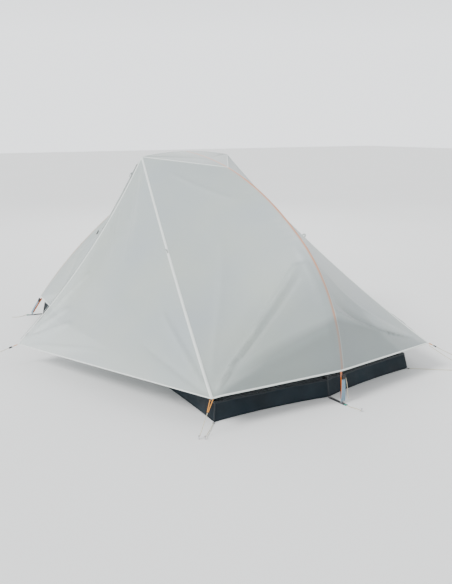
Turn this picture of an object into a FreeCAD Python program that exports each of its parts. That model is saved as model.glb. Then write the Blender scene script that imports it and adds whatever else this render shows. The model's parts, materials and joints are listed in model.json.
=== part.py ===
import FreeCAD, Part
import Sketcher
import math
import os

# A two-person tent on a Y-shaped hubbed pole, pitched.  One spine pole rises from the middle of the
# foot end to a hub behind the peak, two legs run on to the head corners, and a short brow pole
# crosses the spine at the peak.  The inner tent hangs inside a flysheet with a vestibule each side.
#
# Frame: millimetres, +Z up, X across the tent (+X on the right, looking from foot to head), Y from
# foot to head.  Key points are written with Y measured from the foot edge of the floor, and point()
# moves them so that the origin is under the middle of the whole tent, on the ground.

Vector = FreeCAD.Vector
Rotation = FreeCAD.Rotation
doc = FreeCAD.newDocument("HubbedPoleTent")

DIMENSIONS = {
    "middle": 979.7,              # foot edge of the floor to the middle of the tent
    "foot_half_width": 576.0,
    "head_half_width": 597.0,
    "floor_length": 2110.0,
    "foot_point": 62.0,           # how far the middle of the foot edge is pulled out
    "floor_thick": 3.0,
    "wall_thick": 3.0,
    "wall_height": 84.0,
    "wall_lean": 14.0,
    "pole_dia": 8.7,
    "pole_bore": 7.5,
    "ferrule_bore": 4.4,
    "ferrule_length": 70.0,
    "shock_dia": 2.4,
    "section_gap": 0.3,
    "spine_foot": 146.0,          # pole foot beyond the foot edge
    "leg_foot_half": 662.0,
    "leg_foot": 2127.0,
    "tip_height": 22.0,
    "tip_radius": 4.2,
    "tip_ball": 3.4,
    "hub_radius": 11.5,
    "socket_radius": 7.0,
    "socket_bore": 4.9,
    "socket_length": 42.0,
    "brow_half": 262.0,
    "brow_place": 1208.0,
    "brow_drop": 15.0,
    "brow_rise": 10.6,            # brow pole centre above spine centre
    "clip_width": 20.0,
    "clip_bore": 4.5,
    "fly_thick": 2.4,
    "inner_thick": 1.6,
    "corner_half": 634.0,
    "corner_out": 82.0,
    "corner_height": 146.0,
    "tip_half": 1025.0,
    "tip_place": 1189.0,
    "tip_level": 110.0,
    "door_foot_half": 640.0,
    "door_foot_place": 1705.0,
    "hem_level": 100.0,
    "roll_radius": 21.0,
    "chain_radius": 1.6,
    "slider_length": 13.0,
    "slider_width": 8.0,
    "slider_bore": 2.1,
    "pin_radius": 1.0,
    "pin_clearance": 0.08,
    "pull_length": 26.0,
    "pull_width": 6.0,
    "pull_thick": 1.6,
    "cord_dia": 2.6,
    "tensioner_length": 17.0,
    "tensioner_width": 9.0,
    "tensioner_height": 6.0,
    "tensioner_bore": 2.0,
    "strap_width": 12.0,
    "strap_thick": 1.6,
    "strap_top": 118.0,
    "grommet_radius": 9.5,
    "grommet_bore": 5.6,
    "grommet_height": 2.6,
    "buckle_width": 19.0,
    "buckle_height": 22.0,
    "buckle_thick": 6.0,
    "buckle_slot": 2.6,
    "stake_radius": 3.2,
    "stake_height": 15.0,
    "toggle_length": 26.0,
    "toggle_radius": 3.0,
    "toggle_bore": 1.7,
}

sheet = doc.addObject("Spreadsheet::Sheet", "Dimensions")
for row, (alias, value) in enumerate(DIMENSIONS.items(), start=1):
    sheet.set("A%d" % row, alias)
    sheet.set("B%d" % row, str(value))
    sheet.setAlias("B%d" % row, alias)
doc.recompute()


def dim(alias):
    """A driving dimension, read back from the sheet."""
    return float(sheet.get(alias))


def point(x, y, z):
    """A point given from the foot edge of the floor, moved to the tent's own origin."""
    return Vector(x, y - dim("middle"), z)


def between(start, end, t):
    return start + (end - start) * t


SIDES = (("left", -1), ("right", 1))
UP = Vector(0, 0, 1)
PARTS = []


def keep(obj, label):
    """Names a finished sub-part and lists it for export."""
    obj.Label = label
    PARTS.append(obj)
    return obj


def add_shape(label, shape):
    """A sub-part whose shape is made by code; a list of shapes makes one group of solids."""
    feature = doc.addObject("Part::Feature", label)
    feature.Shape = Part.makeCompound(shape) if isinstance(shape, list) else shape
    return keep(feature, label)


def add_group(label, bodies):
    """Several alike bodies kept as one sub-part."""
    group = doc.addObject("Part::Compound", label)
    group.Links = bodies
    return keep(group, label)


def pose(position, x_axis, z_axis):
    """A placement with its local Z along z_axis and its local X as near x_axis as it can be."""
    z_axis = Vector(z_axis).normalize()
    y_axis = z_axis.cross(x_axis).normalize()
    x_axis = y_axis.cross(z_axis)
    return FreeCAD.Placement(position, Rotation(x_axis, y_axis, z_axis, "ZXY"))


def pose_along(position, x_axis, facing):
    """A placement with its local X along x_axis and its local Z as near facing as it can be."""
    x_axis = Vector(x_axis).normalize()
    return pose(position, x_axis, facing - x_axis * facing.dot(x_axis))


# ---------------------------------------------------------------- PartDesign helpers

def new_body(label, placement):
    body = doc.addObject("PartDesign::Body", label)
    body.Label = label
    body.Placement = placement
    return body


def sketch_on(body, name, role):
    """A sketch on one of the body's own origin planes."""
    sketch = body.newObject("Sketcher::SketchObject", name)
    plane = [item for item in body.Origin.OriginFeatures if item.Role == role][0]
    sketch.AttachmentSupport = (plane, [""])
    sketch.MapMode = "FlatFace"
    return sketch


def terms_of(formula):
    """The signed terms of a formula such as -alias/2+alias."""
    return [term for term in formula.replace("-", "+-").split("+") if term]


def size_of(formula):
    """The value of a plain number, or of a formula over the sheet's aliases."""
    if not isinstance(formula, str):
        return float(formula)
    total = 0.0
    for term in terms_of(formula):
        name, _, divisor = term.lstrip("-").partition("/")
        total += (-1.0 if term.startswith("-") else 1.0) * dim(name) / float(divisor or 1)
    return total


def bind(sketch, index, formula):
    """Ties a constraint to the sheet when its size is a formula."""
    if isinstance(formula, str):
        terms = ["%sDimensions.%s" % ("-" if term.startswith("-") else "", term.lstrip("-"))
                 for term in terms_of(formula)]
        sketch.setExpression("Constraints[%d]" % index, "+".join(terms).replace("+-", "-"))


def add_polygon(sketch, corners):
    """A closed outline whose corner coordinates are numbers or formulas."""
    values = [Vector(size_of(x), size_of(y), 0) for x, y in corners]
    count = len(values)
    first = sketch.GeometryCount
    for i in range(count):
        sketch.addGeometry(Part.LineSegment(values[i], values[(i + 1) % count]), False)
    for i in range(count):
        joint = Sketcher.Constraint("Coincident", first + i, 2, first + (i + 1) % count, 1)
        sketch.addConstraint(joint)
    for i, (x, y) in enumerate(corners):
        for kind, formula in (("DistanceX", x), ("DistanceY", y)):
            size = size_of(formula)
            index = sketch.addConstraint(Sketcher.Constraint(kind, -1, 1, first + i, 1, size))
            bind(sketch, index, formula)


def add_rectangle(sketch, half_x, half_y, middle_y=0.0):
    """A rectangle centred on the sketch's Y axis."""
    wide, tall = size_of(half_x), size_of(half_y)
    corners = [Vector(sx * wide, middle_y + sy * tall, 0)
               for sx, sy in ((-1, -1), (1, -1), (1, 1), (-1, 1))]
    first = sketch.GeometryCount
    for i in range(4):
        sketch.addGeometry(Part.LineSegment(corners[i], corners[(i + 1) % 4]), False)
    for i in range(4):
        joint = Sketcher.Constraint("Coincident", first + i, 2, first + (i + 1) % 4, 1)
        sketch.addConstraint(joint)
    for i, kind in enumerate(("Horizontal", "Vertical", "Horizontal", "Vertical")):
        sketch.addConstraint(Sketcher.Constraint(kind, first + i))
    for kind, corner, size, formula in (
            ("DistanceX", 1, wide, half_x), ("DistanceX", 0, -wide, None),
            ("DistanceY", 1, middle_y - tall, None), ("DistanceY", 2, middle_y + tall, None)):
        index = sketch.addConstraint(Sketcher.Constraint(kind, -1, 1, first + corner, 1, size))
        if formula:
            bind(sketch, index, formula)


def add_circle(sketch, radius, x=0.0, y=0.0):
    index = sketch.addGeometry(Part.Circle(Vector(x, y, 0), UP, size_of(radius)), False)
    sketch.addConstraint(Sketcher.Constraint("DistanceX", -1, 1, index, 3, x))
    sketch.addConstraint(Sketcher.Constraint("DistanceY", -1, 1, index, 3, y))
    size = sketch.addConstraint(Sketcher.Constraint("Radius", index, size_of(radius)))
    bind(sketch, size, radius)


def pad(body, sketch, length, both_ways=False):
    feature = body.newObject("PartDesign::Pad", "Pad")
    feature.Profile = sketch
    if isinstance(length, str):
        feature.setExpression("Length", "Dimensions." + length)
    else:
        feature.Length = length
    feature.Midplane = both_ways
    body.Tip = feature
    return feature


def pocket_through(body, sketch):
    feature = body.newObject("PartDesign::Pocket", "Pocket")
    feature.Profile = sketch
    feature.Type = "ThroughAll"
    feature.Midplane = True
    body.Tip = feature
    return feature


def revolve(body, sketch):
    """A full turn about the sketch's vertical axis."""
    feature = body.newObject("PartDesign::Revolution", "Revolution")
    feature.Profile = sketch
    feature.ReferenceAxis = (sketch, ["V_Axis"])
    feature.Angle = 360.0
    body.Tip = feature
    return feature


# ---------------------------------------------------------------- pole paths

class PolePath:
    """A pole's line in a vertical plane, as tangent arcs; turn is in degrees, positive downwards."""

    def __init__(self, start, along, heading, pieces):
        self.start = start
        self.along = along
        self.pieces = []
        angle = math.radians(heading)
        u, w, reached = 0.0, 0.0, 0.0
        for radius, turn in pieces:
            turn = math.radians(turn)
            length = radius * turn
            self.pieces.append((reached, length, radius, u, w, angle))
            u += radius * (math.sin(angle) - math.sin(angle - turn))
            w += radius * (math.cos(angle - turn) - math.cos(angle))
            angle -= turn
            reached += length
        self.length = reached

    def local(self, s):
        """Plane coordinates and heading at a distance along the pole."""
        for reached, length, radius, u, w, angle in self.pieces:
            if s <= reached + length + 1e-6:
                break
        turned = (s - reached) / radius
        return (u + radius * (math.sin(angle) - math.sin(angle - turned)),
                w + radius * (math.cos(angle - turned) - math.cos(angle)),
                angle - turned)

    def at(self, s, lift=0.0):
        """The point at a distance along the pole, lifted off it on its upper side."""
        u, w, angle = self.local(s)
        u -= lift * math.sin(angle)
        w += lift * math.cos(angle)
        return self.start + self.along * u + UP * w

    def direction(self, s):
        angle = self.local(s)[2]
        return self.along * math.cos(angle) + UP * math.sin(angle)

    def edges(self, start, end):
        cuts = [start]
        cuts += [piece[0] for piece in self.pieces if start + 1 < piece[0] < end - 1]
        cuts.append(end)
        return [Part.Arc(self.at(a), self.at((a + b) / 2), self.at(b)).toShape()
                for a, b in zip(cuts, cuts[1:])]

    def rod(self, start, end, radius):
        circle = Part.makeCircle(radius, self.at(start), self.direction(start))
        path = Part.Wire(self.edges(start, end))
        return path.makePipeShell([Part.Wire(circle)], True, False)

    def tube(self, start, end, radius, bore):
        return self.rod(start, end, radius).cut(self.rod(start, end, bore))


SPINE_ARCS = ((1160.0, 14.5), (728.0, 38.7), (1740.0, 38.8))   # radius, turn in degrees
LEG_ARCS = ((6503.0, 6.7), (3128.0, 13.7))
LEG_DROP = 35.1                    # degrees below level where a leg leaves the hub
foot_pole_start = point(0, -dim("spine_foot"), 0)
spine = PolePath(foot_pole_start, Vector(0, 1, 0), 90.0, SPINE_ARCS)
hub_centre = spine.at(spine.length)
legs = {}
for side, sign in SIDES:
    leg_foot = point(sign * dim("leg_foot_half"), dim("leg_foot"), 0)
    along = Vector(leg_foot.x - hub_centre.x, leg_foot.y - hub_centre.y, 0).normalize()
    legs[side] = PolePath(hub_centre, along, -LEG_DROP, LEG_ARCS)


# ---------------------------------------------------------------- poles

def pole_run(prefix, path, start, end, sections):
    """Hollow pole sections end to end; gives the ferrules across their joints and the shock cord."""
    radius, bore = dim("pole_dia") / 2, dim("pole_bore") / 2
    length = (end - start) / sections
    gap = dim("section_gap") / 2
    for i in range(sections):
        a, b = start + i * length + gap, start + (i + 1) * length - gap
        add_shape("%s_section_%d" % (prefix, i + 1), path.tube(a, b, radius, bore))
    half = dim("ferrule_length") / 2
    inserts = [path.tube(start + i * length - half, start + i * length + half,
                         bore - 0.1, dim("ferrule_bore") / 2) for i in range(1, sections)]
    return inserts, path.rod(start + TIP_INSERT + 2, end - TIP_INSERT - 2, dim("shock_dia") / 2)


TIP_INSERT = 14.0
SOCKET_START = dim("hub_radius") - 3.0


def hubbed_poles():
    """The spine in four sections and each leg in three, on one run of shock cord each."""
    ferrules, cord = pole_run("spine", spine, dim("tip_height"), spine.length - SOCKET_START - 1.0, 4)
    cords = [cord]
    for side, sign in SIDES:
        path = legs[side]
        inserts, cord = pole_run("leg_" + side, path, SOCKET_START + 1.0,
                                 path.length - dim("tip_height"), 3)
        ferrules += inserts
        cords.append(cord)
    add_shape("pole_ferrules", ferrules)
    add_shape("shock_cord", cords)


hubbed_poles()


def hub():
    """A moulded hub: a drum with three sockets, one for the spine and one for each leg."""
    drum = doc.addObject("Part::Sphere", "HubDrum")
    drum.setExpression("Radius", "Dimensions.hub_radius")
    drum.Placement.Base = hub_centre
    solids, bores = [drum], []
    directions = [-spine.direction(spine.length)]
    directions += [legs[side].direction(0) for side, sign in SIDES]
    for i, direction in enumerate(directions):
        for name, radius, reach, group in (("Socket", "socket_radius", 0.0, solids),
                                           ("Bore", "socket_bore", SOCKET_START, bores)):
            cylinder = doc.addObject("Part::Cylinder", "Hub%s%d" % (name, i))
            cylinder.setExpression("Radius", "Dimensions." + radius)
            cylinder.setExpression("Height", "Dimensions.socket_length")
            cylinder.Placement = FreeCAD.Placement(hub_centre + direction * reach,
                                                   Rotation(UP, direction))
            group.append(cylinder)
    body = doc.addObject("Part::MultiFuse", "HubBody")
    body.Shapes = solids
    hollow = doc.addObject("Part::MultiFuse", "HubBores")
    hollow.Shapes = bores
    cut = doc.addObject("Part::Cut", "Hub")
    cut.Base = body
    cut.Tool = hollow
    return keep(cut, "pole_hub")


hub()


def pole_tip(label, foot, direction):
    """A turned tip: ball end, flange against the tube and a stem inside it."""
    body = new_body(label, FreeCAD.Placement(foot, Rotation(UP, direction)))
    profile = sketch_on(body, label + "_profile", "XZ_Plane")
    add_polygon(profile, [(0.0, 0.6), (2.0, 0.6), ("tip_ball", 3.0), ("tip_ball", 9.0),
                          (2.4, 12.0), (2.4, 16.0), ("tip_radius", 17.0),
                          ("tip_radius", "tip_height"), (3.0, "tip_height"),
                          (3.0, dim("tip_height") + TIP_INSERT), (0.0, dim("tip_height") + TIP_INSERT)])
    revolve(body, profile)
    return body


pole_tips = [pole_tip("spine_tip", spine.at(0), spine.direction(0))]
for side, sign in SIDES:
    path = legs[side]
    pole_tips.append(pole_tip("leg_tip_" + side, path.at(path.length), -path.direction(path.length)))
add_group("pole_tips", pole_tips)


# ---------------------------------------------------------------- brow pole

def spine_at_place(place):
    """Distance along the spine at which it passes a given place from the foot edge."""
    low, high = 0.0, spine.length
    for _ in range(60):
        middle = (low + high) / 2
        if spine.at(middle).y + dim("middle") < place:
            low = middle
        else:
            high = middle
    return low


crossing = spine.at(spine_at_place(dim("brow_place")))
brow_top = crossing + UP * dim("brow_rise")
brow_ends = {side: brow_top + Vector(sign * dim("brow_half"), 0, -dim("brow_drop"))
             for side, sign in SIDES}
brow_arc = Part.Arc(brow_ends["left"], brow_top, brow_ends["right"])


def brow_pole():
    """A short bowed tube across the peak, with a moulded cap on each end."""
    path = Part.Wire(brow_arc.toShape())
    tangent = brow_arc.tangent(brow_arc.FirstParameter)[0]
    outer = path.makePipeShell([Part.Wire(Part.makeCircle(dim("pole_dia") / 2, brow_ends["left"],
                                                          tangent))], True, False)
    inner = path.makePipeShell([Part.Wire(Part.makeCircle(dim("pole_bore") / 2, brow_ends["left"],
                                                          tangent))], True, False)
    add_shape("brow_pole", outer.cut(inner))
    caps = []
    for side, sign in SIDES:
        outward = Vector(sign * tangent.x, 0, -abs(tangent.z))
        body = new_body("brow_cap_" + side,
                        FreeCAD.Placement(brow_ends[side], Rotation(UP, outward)))
        profile = sketch_on(body, "brow_cap_profile_" + side, "XZ_Plane")
        add_polygon(profile, [(0.0, -TIP_INSERT), (3.5, -TIP_INSERT), (3.5, 0.2), (5.2, 0.2),
                              (5.2, 5.0), (3.4, 8.0), (0.0, 9.0)])
        revolve(body, profile)
        caps.append(body)
    add_group("brow_caps", caps)


brow_pole()


def brow_clip():
    """A clip block with one channel along the spine and one along the brow pole above it."""
    body = new_body("brow_clip", FreeCAD.Placement(crossing, Rotation()))
    outline = sketch_on(body, "brow_clip_outline", "XY_Plane")
    add_rectangle(outline, "clip_width/2", "clip_width/2")
    pad(body, outline, dim("brow_rise") + 12.5)
    doc.recompute()
    for name, role, height in (("spine", "XZ_Plane", 6.8), ("brow", "YZ_Plane", 6.8 + dim("brow_rise"))):
        hole = sketch_on(body, "brow_clip_%s_hole" % name, role)
        add_circle(hole, "clip_bore", 0.0, height)
        pocket_through(body, hole)
    body.Placement = FreeCAD.Placement(crossing - UP * 6.8, Rotation())
    keep(body, "brow_clip")


brow_clip()


# ---------------------------------------------------------------- floor

def floor_outline(height, inset):
    """The floor's outline as a wire of arcs; the sides and the foot edge bow inwards."""
    foot = dim("foot_half_width") - inset
    head = dim("head_half_width") - inset
    length = dim("floor_length") - inset
    corners = [Vector(-foot, inset, height), Vector(0, inset - dim("foot_point"), height),
               Vector(foot, inset, height), Vector(head, length, height),
               Vector(-head, length, height)]
    bows = (Vector(5, 16, 0), Vector(-5, 16, 0), Vector(-50, 0, 0), Vector(0, -12, 0),
            Vector(50, 0, 0))
    edges = []
    for i, bow in enumerate(bows):
        a, b = corners[i], corners[(i + 1) % 5]
        a, b = point(*a), point(*b)
        edges.append(Part.Arc(a, (a + b) / 2 + bow, b).toShape())
    return Part.Wire(edges)


def bathtub_floor():
    """The waterproof floor with its raised walls, which lean in a little."""
    lean, thick = dim("wall_lean"), dim("wall_thick")
    high, floor = dim("wall_height"), dim("floor_thick")
    outside = Part.makeLoft([floor_outline(0, 0), floor_outline(high, lean)], True, True)
    inside = Part.makeLoft([floor_outline(floor, thick + lean * floor / high),
                            floor_outline(high + 1, thick + lean * (high + 1) / high)], True, True)
    add_shape("bathtub_floor", outside.cut(inside))


bathtub_floor()


# ---------------------------------------------------------------- inner tent

def facet(corners, thick, inset=1.5):
    """A thin flat piece of cloth: a polygon drawn in a little from its edges and given thickness."""
    middle = Vector()
    for corner in corners:
        middle += corner / len(corners)
    reach = min((corner - middle).Length for corner in corners)
    shrink = 1 - 3 * inset / reach
    points = [between(middle, corner, shrink) for corner in corners]
    normal = (points[1] - points[0]).cross(points[2] - points[0]).normalize()
    face = Part.Face(Part.makePolygon(points + points[:1]))
    return face.extrude(normal * thick)


INNER_GAP = 27.0                   # inner tent below the pole centre line


def inner_points(sign):
    """Where the inner tent is held, on one side."""
    path = legs["left" if sign < 0 else "right"]
    top = dim("wall_height") + 3
    lean = dim("wall_lean") + 4
    inward = Vector(-sign * 50, 0, 0)
    return {
        "foot_corner": point(sign * (dim("foot_half_width") - lean - 6), lean, top),
        "foot_middle": point(0, lean - dim("foot_point"), top),
        "head_corner": point(sign * (dim("head_half_width") - lean - 8), dim("floor_length") - 26, top),
        "head_middle": point(0, dim("floor_length") - 38, top),
        "low": spine.at(500.0, -INNER_GAP),
        "mid": spine.at(930.0, -INNER_GAP),
        "high": spine.at(1420.0, -INNER_GAP),
        "hub": hub_centre - UP * (INNER_GAP + 16) + Vector(0, 16, 0),
        "brow": brow_ends["left" if sign < 0 else "right"] - Vector(sign * 52, -10, 52),
        "leg": path.at(path.length * 0.52, -INNER_GAP - 30) + inward,
    }


INNER_SIDE = [("foot_corner", "low", "mid"), ("foot_corner", "mid", "high"),
              ("foot_corner", "high", "brow"), ("foot_corner", "brow", "head_corner"),
              ("brow", "leg", "head_corner")]
INNER_ENDS = [("foot_corner", "foot_middle", "low"), ("high", "hub", "brow"), ("hub", "leg", "brow"),
              ("hub", "head_middle", "leg"), ("leg", "head_middle", "head_corner")]


def inner_walls():
    """The inner tent's cloth: a side wall each side, and the foot, roof and head panels."""
    ends = []
    for side, sign in SIDES:
        places = inner_points(sign)
        walls = [facet([places[key] for key in triangle], dim("inner_thick")) for triangle in INNER_SIDE]
        add_shape("inner_side_" + side, walls)
        ends += [facet([places[key] for key in triangle], dim("inner_thick")) for triangle in INNER_ENDS]
    add_shape("inner_ends", ends)


inner_walls()


def pole_clip(path, s):
    """A moulded clip: a ring round the pole and a tab down to the inner tent."""
    centre, direction = path.at(s), path.direction(s)
    down = path.at(s, -1.0) - centre
    ring = Part.makeCylinder(6.4, 9, centre - direction * 4.5, direction)
    hole = Part.makeCylinder(4.65, 11, centre - direction * 5.5, direction)
    tab = Part.makeBox(9, 2.4, INNER_GAP - 9)
    tab.Placement = pose(centre + down * 5.6 - direction * 4.5 + direction.cross(down) * -1.2,
                         direction, down)
    return ring.fuse(tab).cut(hole)


def canopy_clips():
    clips = [pole_clip(spine, s) for s in (500.0, 720.0, 930.0, 1180.0, 1420.0)]
    for side, sign in SIDES:
        clips += [pole_clip(legs[side], legs[side].length * share) for share in (0.3, 0.52, 0.78)]
    add_shape("canopy_clips", clips)


canopy_clips()


# ---------------------------------------------------------------- flysheet

FLY_LIFT = 10.0                    # fly above a pole's centre line
peaks = {side: brow_ends[side] + Vector(sign * 15, 5, 7) for side, sign in SIDES}
brow_fly_top = brow_top + UP * FLY_LIFT
corners = {side: point(sign * dim("corner_half"), -dim("corner_out"), dim("corner_height"))
           for side, sign in SIDES}
tips = {side: point(sign * dim("tip_half"), dim("tip_place"), dim("tip_level"))
        for side, sign in SIDES}
door_feet = {side: point(sign * dim("door_foot_half"), dim("door_foot_place"), dim("hem_level"))
             for side, sign in SIDES}
FOOT_START = 1470.0                # distance along the spine where the roof panel's point lies


def sagging(start, end, sag):
    """An arc from start to end whose middle is moved by sag."""
    return Part.Arc(start, (start + end) / 2 + sag, end)


def arc_point(arc, t):
    return arc.value(arc.FirstParameter + t * (arc.LastParameter - arc.FirstParameter))


foot_seams = {side: sagging(peaks[side], corners[side], Vector(-sign * 12, 22, -38))
              for side, sign in SIDES}
ridges = {side: sagging(peaks[side], tips[side], Vector(-sign * 38, 0, -31)) for side, sign in SIDES}
ridge_circles = {side: ridges[side].toShape().Curve for side, sign in SIDES}


def cloth(rows, outward, thick):
    """A curved panel: a smooth face through a grid of points, given thickness."""
    surface = Part.BSplineSurface()
    surface.interpolate(rows)
    normal = (rows[-1][0] - rows[0][-1]).cross(rows[-1][-1] - rows[0][0]).normalize()
    if normal.dot(outward) < 0:
        normal = -normal
    panel = surface.toShape().extrude(normal * thick)
    if panel.Volume < 0:
        panel.reverse()
    return panel


def spread(start, end, count):
    return [start + (end - start) * i / (count - 1) for i in range(count)]


def grid(first_edge, second_edge, bulge, start=0.02, inset=0.004, along=9, across=5):
    """Points between two edges, from their tops down; bulge pushes the middle in or out."""
    rows = []
    for u in spread(start, 1.0, along):
        a, b = first_edge(u), second_edge(u)
        row = []
        for v in spread(inset, 1 - inset, across):
            row.append(between(a, b, v) + bulge * (4 * v * (1 - v) * math.sin(math.pi * u)))
        rows.append(row)
    return rows


def spine_line(u):
    """The fly's middle line over the spine, from the roof point down to the foot buckle."""
    s = FOOT_START + (150.0 - FOOT_START) * u
    return spine.at(s, FLY_LIFT)


def foot_panels():
    for side, sign in SIDES:
        rows = grid(lambda u: arc_point(foot_seams[side], u), spine_line,
                    Vector(-sign * 4, 6, -7), start=0.0)
        add_shape("fly_foot_" + side, cloth(rows, Vector(sign * 0.5, -1, 0.6), dim("fly_thick")))


foot_panels()


def near_vestibules():
    """The foot-side half of each vestibule, from the peak to the foot corner and the tip."""
    for side, sign in SIDES:
        rows = grid(lambda u: arc_point(foot_seams[side], u),
                    lambda u: arc_point(ridges[side], u), Vector(-sign * 10, 0, -8))
        add_shape("vestibule_foot_" + side, cloth(rows, Vector(sign, -0.6, 0.6), dim("fly_thick")))


near_vestibules()


def roof_panel():
    """The panel over the peak, from the brow pole to a point on the spine."""
    rows = []
    front = spine.at(FOOT_START + 8.0, FLY_LIFT)
    for t in spread(0.0, 0.97, 6):
        left = between(peaks["left"], front, t) - UP * 8 * math.sin(math.pi * t)
        right = between(peaks["right"], front, t) - UP * 8 * math.sin(math.pi * t)
        s = spine_at_place(dim("brow_place"))
        top = spine.at(s + (FOOT_START + 8.0 - s) * t, FLY_LIFT + dim("brow_rise") * (1 - t) ** 2)
        row = []
        for v in spread(-1.0, 1.0, 7):
            edge = left if v < 0 else right
            crown = UP * (24 * abs(v) * (1 - abs(v)) * (1 - t))
            row.append(between(top, edge, abs(v)) + crown)
        rows.append(row)
    add_shape("fly_roof", cloth(rows, UP, dim("fly_thick")))


roof_panel()


LEG_START = 70.0                   # where the fly first lies along a leg pole
HEAD_BUCKLE = 146.0                # where it ends, before the pole's foot


def leg_line(side):
    """The fly's line over a leg pole, from the brow pole over the hub and down to the head buckle."""
    path = legs[side]
    end = path.length - HEAD_BUCKLE
    outward = UP.cross(path.along) * (1 if side == "left" else -1)
    over_brow = brow_fly_top + (peaks[side] - brow_fly_top) * 0.2
    over_hub = hub_centre + UP * 22.0 + outward * 16.0

    def on_leg(s):
        return path.at(s, FLY_LIFT + 3) + outward * 5.0

    def line(u):
        if u < 0.05:
            return between(over_brow, over_hub, u / 0.05)
        if u < 0.1:
            return between(over_hub, on_leg(LEG_START), (u - 0.05) / 0.05)
        return on_leg(LEG_START + (end - LEG_START) * (u - 0.1) / 0.9)
    return line


def head_panels():
    """The fly over the legs: a panel between them, and a gore outside each one."""
    rows = []
    for u in [0.0, 0.05] + spread(0.1, 1.0, 8):
        left, right = leg_line("left")(u), leg_line("right")(u)
        sag = Vector(0, -16, -20) * math.sin(math.pi * u) ** 2
        rows.append([between(left, right, v) + sag * (4 * v * (1 - v)) for v in spread(0.003, 0.997, 5)])
    add_shape("fly_head", cloth(rows, Vector(0, 1, 1), dim("fly_thick")))
    for side, sign in SIDES:
        rows = grid(leg_line(side), lambda u: between(peaks[side], door_feet[side], u),
                    Vector(-sign * 8, 0, -8), start=0.03, inset=0.012)
        add_shape("fly_gore_" + side, cloth(rows, Vector(sign, 0, 0.6), dim("fly_thick")))


head_panels()


def door_edge(side, u, inset):
    """The two edges of the head-side door half, drawn in from the ridge and from the gore."""
    hinge = between(peaks[side], door_feet[side], u)
    ridge = arc_point(ridges[side], u)
    width = (ridge - hinge).Length
    return (between(hinge, ridge, inset / width), between(hinge, ridge, 1 - inset / width))


def right_door():
    """The closed head-side door half of the right vestibule; it swings about its gore edge."""
    rows = []
    for u in spread(0.07, 1.0, 9):
        a, b = door_edge("right", u, 11.0)
        bulge = Vector(-9, 4, -9) * math.sin(math.pi * u)
        rows.append([between(a, b, v) + bulge * (4 * v * (1 - v)) for v in spread(0, 1, 5)])
    add_shape("door_right", cloth(rows, Vector(1, 0.6, 0.6), dim("fly_thick")))


right_door()


def left_door_roll():
    """The head-side door half of the left vestibule, rolled up and tied along its gore edge."""
    top, foot = peaks["left"], door_feet["left"]
    along = (foot - top).normalize()
    outward = along.cross(Vector(0, 1, 0)).normalize()
    if outward.x > 0:
        outward = -outward
    radius = dim("roll_radius")
    rings = []
    for share, size in ((0.06, 0.35), (0.25, 0.75), (0.5, 0.95), (0.75, 1.1), (1.0, 1.2)):
        centre = between(top, foot, share) + outward * 3 + Vector(12, -36, 0) * min(1, share * 3)
        rings.append(Part.Wire(Part.makeCircle(radius * size, centre, along)))
    add_shape("door_left_roll", Part.makeLoft(rings, True, False))


left_door_roll()


# ---------------------------------------------------------------- zips

def ridge_normal(side):
    """The axis that a slider on this ridge turns about: the normal of the ridge's own plane."""
    return Vector(ridge_circles[side].Axis).normalize()


def along_arc(arc, start, end, shift):
    """An eight-sided rod along part of an arc, moved sideways by shift."""
    rings, stations = [], 12
    for k in range(stations + 1):
        t = start + (end - start) * k / stations
        centre = arc_point(arc, t) + shift
        tangent = (arc_point(arc, t + 0.001) - arc_point(arc, t)).normalize()
        side = tangent.cross(UP).normalize()
        rise = side.cross(tangent)
        corners = []
        for i in range(8):
            turn = math.radians(22.5 + 45 * i)
            corners.append(centre + (side * math.cos(turn) + rise * math.sin(turn)) * dim("chain_radius"))
        rings.append(Part.makePolygon(corners + corners[:1]))
    return Part.makeLoft(rings, True, True)


ZIP_TOP, ZIP_FOOT = 0.05, 0.975
zip_shift = {side: Vector(sign * 3.0, 5.5, 3.0) for side, sign in SIDES}


def zips():
    """A zip chain along each ridge, with its slider and pull."""
    add_shape("zip_chains", [along_arc(ridges[side], ZIP_TOP, ZIP_FOOT, zip_shift[side])
                             for side, sign in SIDES])
    for side, sign in SIDES:
        share = {"left": 0.09, "right": 0.955}[side]
        centre = arc_point(ridges[side], share) + zip_shift[side]
        tangent = (arc_point(ridges[side], share + 0.001) - arc_point(ridges[side], share)).normalize()
        outward = tangent.cross(ridge_normal(side))
        if outward.x * sign < 0:
            outward = -outward
        place = pose(centre, tangent, outward)
        slider(side, place)
        pull(side, place)


PIN_HEIGHT = 7.0                   # pull pin above the chain's centre line


def slider(side, place):
    """A slider round the chain, with a bridge whose pin carries the pull."""
    label = "zip_slider_" + side
    body = new_body(label, place)
    outline = sketch_on(body, label + "_outline", "YZ_Plane")
    low, top = -3.4, 3.6
    add_polygon(outline, [("-slider_width/2", low), ("slider_width/2", low),
                          ("slider_width/2", top), ("-slider_width/2", top)])
    pad(body, outline, "slider_length", both_ways=True)
    ears = sketch_on(body, label + "_ears", "XZ_Plane")
    add_polygon(ears, [(-3.0, 3.0), (3.0, 3.0), (3.0, 8.8), (-3.0, 8.8)])
    pad(body, ears, "slider_width", both_ways=True)
    chain = sketch_on(body, label + "_chain", "YZ_Plane")
    add_circle(chain, "slider_bore")
    pocket_through(body, chain)
    slot = sketch_on(body, label + "_slot", "YZ_Plane")
    add_polygon(slot, [("-pull_width/2-pin_clearance", 4.0), ("pull_width/2+pin_clearance", 4.0),
                       ("pull_width/2+pin_clearance", 9.8), ("-pull_width/2-pin_clearance", 9.8)])
    pocket_through(body, slot)
    pin = sketch_on(body, label + "_pin", "XZ_Plane")
    add_circle(pin, "pin_radius", 0.0, PIN_HEIGHT)
    pad(body, pin, "slider_width", both_ways=True)
    keep(body, label)


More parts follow.
